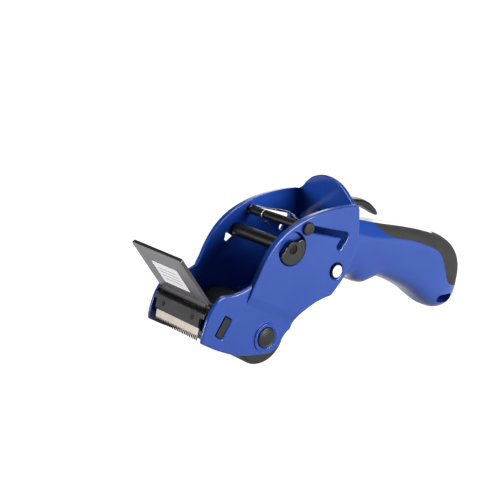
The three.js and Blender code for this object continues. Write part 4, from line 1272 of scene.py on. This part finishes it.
# ------------------------------------------------------------------ applicator roller
def build_roller():
    profile = [(r, -y) for r, y in TYRE_END] + TYRE_END[::-1]
    tyre = lathe("tyre", AXLE, rounded(profile, 0.5), 160, closed=True)
    finish(tyre, "roller_rubber_tyre", "applicator_roller", TYRE, "roller_tyre")
    core = lathe("core", AXLE, rounded(CORE, 0.3, 2), closed=True)
    finish(core, "roller_core_tube", "applicator_roller", GREY, "roller_core")
    for sign, side in SIDES:
        bush = lathe("bush", AXLE, rounded(BUSH_PROFILE, 0.3, 2), 64, closed=True, side=sign)
        finish(bush, f"bush_{side}", "applicator_roller", BUSH,
               f"roller_bush_{side}")
        cap = lathe("cap", AXLE, rounded(AXLE_CAP, 0.18, 3, closed=False), side=sign)
        finish(cap, f"axle_end_{side}", "frame", CAP, f"axle_cap_{side}")
    axle = cylinder("axle", AXLE, 3, -27.6, 27.6, 64, 0.4)
    finish(axle, "axle_rod", "frame", ROD, "roller_axle")


# ------------------------------------------------------------------ core rod
def sleeve(name, centre, inner, outer, y0, y1, radius, seg):
    profile = [(inner, y0), (outer, y0), (outer, y1), (inner, y1)]
    return lathe(name, centre, rounded(profile, radius), seg, closed=True)


def build_core_rod():
    shaft = cylinder("shaft", CORE_ROD, 1.75, -31.6, 31.6, 40, 0.2)
    finish(shaft, "core_rod_bar", "core_rod", ROD, "core_rod_shaft")
    tube_part = sleeve("sleeve", CORE_ROD, 1.95, 2.9, -SLEEVE_HALF, 24.0, 0.35, 72)
    finish(tube_part, "core_rod_tube", "core_sleeve", BLACK, "core_rod_sleeve")
    for sign, side in SIDES:
        cap = lathe("rodcap", CORE_ROD, rounded(CORE_ROD_CAP, 0.25, closed=False), 64, side=sign)
        finish(cap, f"core_rod_end_{side}", "core_rod", BLACK,
               f"core_rod_cap_{side}")


def build_leaf():
    """The bowed strip along the core rod's sleeve."""
    inner = spline_rows(LEAF, 5)
    outer = [(y, r + LEAF_T) for y, r in inner][::-1]
    turn = radians(LEAF_DIR)
    radial, sideways = Vector((cos(turn), 0, sin(turn))), Vector((-sin(turn), 0, cos(turn)))

    def place(u, v, h):
        return Vector((CORE_ROD[0], u, CORE_ROD[1])) + radial * v + sideways * h

    leaf = prism("leaf", inner + LEAF_END + outer, -LEAF_W / 2, LEAF_W / 2, place,
                 (0.12, 0.12), 2)
    finish(leaf, "core_rod_leaf", "core_rod", STRIP, "core_rod_strip")


def build_wire():
    points = [(CORE_ROD[0] + x, y, CORE_ROD[1] + z) for x, y, z in WIRE]
    wire = tube("wire", points, 0.5, seg=16, per=8)
    finish(wire, "spring_wire", "core_rod", ROD, "link_wire")


# ------------------------------------------------------------------ tension rod
def build_tension_rod():
    shaft = cylinder("tshaft", TENSION_ROD, 2, -28.9, 28.9, 40, 0.2)
    finish(shaft, "tension_bar", "tension_adjuster", ROD, "tension_rod_shaft")
    tube_part = sleeve("tsleeve", TENSION_ROD, 2.3, 4.3, -SLEEVE_HALF, SLEEVE_HALF, 0.5, 80)
    finish(tube_part, "tension_tube", "tension_sleeve", BLACK,
           "tension_rod_sleeve")


def build_knob():
    outline = placed(arc((0, 0), 10.25, -159, 27, 60) + KNOB_EDGE, TENSION_ROD)
    outline = smooth(outline, sigma=0.45, step=0.4)
    knob = plate("knob", outline, -KNOB_OUT, -KNOB_IN, (0.9, 0.3), 5)
    hub = [(0, -31.2), (4.6, -31.15), (5.2, -30.7), (5.2, -KNOB_IN), (0, -KNOB_IN)]
    union(knob, lathe("knob_hub", TENSION_ROD, rounded(hub, 0.3, closed=False), 64))
    cut(
        knob,
        cylinder("knob_bore", TENSION_ROD, 2.3, -29.2, -26, 32),
        cylinder("screw_room", TENSION_ROD, 3.1, -31.8, -30.1, 48),
    )
    finish(knob, "knob", "tension_adjuster", KNOB, "tension_knob")

    screw = cylinder("knob_screw", TENSION_ROD, 2.8, -30.95, -30.4, 48, 0.25)
    for half_x, half_z in ((0.35, 2.2), (2.2, 0.35)):  # cross slot
        slot = placed(rect(-half_x, half_x, -half_z, half_z), TENSION_ROD)
        cut(screw, plate("slot", slot, -31.5, -30.65))
    finish(screw, "knob_fixing", "tension_adjuster", DARK_SCREW, "knob_screw")


def build_tension_end_plate():
    outline = arc((0, 0), 10.3, -159, 27, 50) + [(8.4, 5.6), (-0.6, 5.5), (-6.6, 0.6)]
    outline = smooth(placed(outline, TENSION_ROD, 118), sigma=0.5, step=0.4)
    end_plate = plate("flange", outline, KNOB_IN, KNOB_OUT, (0.3, 0.9))
    cut(end_plate, cylinder("flange_bore", TENSION_ROD, 2.3, 26, 29.2, 32))
    finish(end_plate, "tension_end_plate", "tension_adjuster", BLACK,
           "tension_rod_flange")


# ------------------------------------------------------------------ plugs, screws, rivets
def build_plugs():
    middle = TO_ROW @ Vector((PLUG[0], 0, PLUG[1]))

    # painted shade: the plug's rim and side wall are black, standing in for the shade in the gap
    # round it
    def painted_gap_shade(centre):
        return hypot(centre.x - middle.x, centre.z - middle.z) > 0.00425

    for sign, side in SIDES:
        plug = lathe("plug", PLUG, rounded(PLUG_PROFILE, 0.3, closed=False), 64, side=sign)
        finish(plug, f"plug_{side}", "frame", NYLON, f"side_plug_{side}")
        paint(plug, BLACK, painted_gap_shade)


def build_body_screws():
    for i, centre in enumerate(BODY_SCREWS):
        screw = lathe("head", centre, rounded(SCREW_PROFILE, 0.2, 3, closed=False), 48)
        for deg in (20, 110):  # cross slot, turned a little further on each screw
            slot = placed(rect(-1.9, 1.9, -0.45, 0.45), centre, deg + 17 * i)
            cut(screw, plate("slot", slot, 10.6, 12.5))
        finish(screw, f"screw_{i + 1}", "frame", SCREW, f"body_screw_{i + 1}")


def build_rivets():
    for sign, side in SIDES:
        finish(rivet(RIVET_Y * sign, 1.3, 2.7), f"rivet_{side}", "frame",
               DARK_SCREW, f"blade_rivet_{side}")


# ------------------------------------------------------------------ thumb brake
def brake_plate(name, outline, radius, edge):
    return plate(name, rounded(outline, radius), -LEVER_HALF, LEVER_HALF, (edge, edge), 3)


def build_lever():
    lever = loft("lever", spline_rows(LEVER, 8), seg=40, power=2.6)
    union(
        lever,
        brake_plate("arm", LEVER_ARM, 0.4, 0.4),
        brake_plate("stem", LEVER_STEM, 0.5, 0.4),
    )
    cut(lever, cylinder("lever_bore", LEVER_PIN, 1.8, -9, 9, 40))
    finish(lever, "brake_lever_arm", "brake_lever", BLACK, "thumb_lever",
           angle=45)
    shoe = brake_plate("shoe", BRAKE_SHOE, 0.4, 0.3)
    finish(shoe, "brake_pad", "brake_lever", RUBBER, "brake_shoe")
    pin = cylinder("lpin", LEVER_PIN, 1.45, -9.4, 9.4, 40, 0.2)
    finish(pin, "lever_pin", "frame", ROD, "lever_pivot_pin")


def build_lever_spring():
    points = []
    for i in range(COIL_STEPS + 1):
        a = 2 * pi * COIL_TURNS * i / COIL_STEPS
        height = COIL_AT[1] + COIL_RISE * i / COIL_STEPS
        points.append((COIL_AT[0] + COIL_R * cos(a), COIL_R * sin(a), height))
    coil = tube("coil", points, 0.4, seg=12, per=2)
    finish(coil, "lever_coil", "frame", ROD, "lever_spring")
    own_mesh(coil)


# ------------------------------------------------------------------ floor, light, camera
def build_floor():
    bpy.ops.mesh.primitive_grid_add(x_subdivisions=2, y_subdivisions=2, size=1)
    floor = bpy.context.object
    floor.name = "floor"
    floor.scale = (40, 40, 1)
    low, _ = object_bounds()
    floor.location = (0, 0, min(0.0, low.z) - 0.0003)
    floor.data.materials.append(floor_paper())


def build_world(ambient):
    """White to the camera, an even light of strength ambient to everything else."""
    world = bpy.data.worlds.new("studio")
    scene.world = world
    world.use_nodes = True
    tree = world.node_tree
    background = tree.nodes["Background"]
    background.inputs["Color"].default_value = (1.0, 1.0, 1.0, 1.0)
    path = tree.nodes.new("ShaderNodeLightPath")
    strength = tree.nodes.new("ShaderNodeMapRange")
    strength.inputs["To Min"].default_value = ambient
    strength.inputs["To Max"].default_value = 1.0
    tree.links.new(path.outputs["Is Camera Ray"], strength.inputs["Value"])
    tree.links.new(strength.outputs["Result"], background.inputs["Strength"])


LIGHTS = [  # name, place (m), height of the point aimed at (m), size (m), power (W)
    ("key", (0.38, -1.22, 0.40), 0.05, (0.7, 0.4), 21),
    ("front", (-1.3, 0.50, 0.20), 0.05, (0.6, 0.36), 12),
    ("fill", (1.0, 1.1, 0.55), 0.05, (1.2, 0.9), 8),
    ("top", (0.25, 0.35, 1.3), 0.04, (0.8, 0.8), 5),
]


def build_lights():
    for name, place, aim_height, size, power in LIGHTS:
        data = bpy.data.lights.new(name, "AREA")
        data.shape = "RECTANGLE"
        data.size, data.size_y = size
        data.energy = power
        light = bpy.data.objects.new(name, data)
        scene.collection.objects.link(light)
        light.location = place
        aim = Vector((0, 0, aim_height)) - Vector(place)
        light.rotation_euler = aim.to_track_quat("-Z", "Y").to_euler()


CAMERA_AT = (-449.51, -553.92, 255.08)  # mm, about the roller's axis
CAMERA_RIGHT = (0.776924, -0.628506, 0.036996)
CAMERA_UP = (0.146733, 0.2379, 0.960142)
CAMERA_FORWARD = (0.612257, 0.740529, -0.277053)


def build_camera():
    data = bpy.data.cameras.new("camera")
    camera = bpy.data.objects.new("camera", data)
    scene.collection.objects.link(camera)
    axes = Matrix((CAMERA_RIGHT, CAMERA_UP, -Vector(CAMERA_FORWARD)))
    pose = axes.transposed().to_4x4()
    pose.translation = TO_ROW @ Vector(CAMERA_AT)
    camera.matrix_world = pose
    data.sensor_width = 36
    data.sensor_fit = "HORIZONTAL"
    data.lens = 85.7736
    data.clip_start, data.clip_end = 0.01, 50
    scene.camera = camera


# ------------------------------------------------------------------ build
handle_solid = handle_loft(0)
build_body(handle_solid)
build_grips(handle_solid)
build_inlay(handle_solid)
drop(handle_solid)
build_blade_bar()
build_blade()
build_flap()
build_label()
build_flap_pin()
build_roller()
build_core_rod()
build_leaf()
build_wire()
build_tension_rod()
build_knob()
build_tension_end_plate()
build_plugs()
build_body_screws()
build_rivets()
build_lever()
build_lever_spring()
build_floor()
build_world(ambient=0.08)
build_lights()
build_camera()
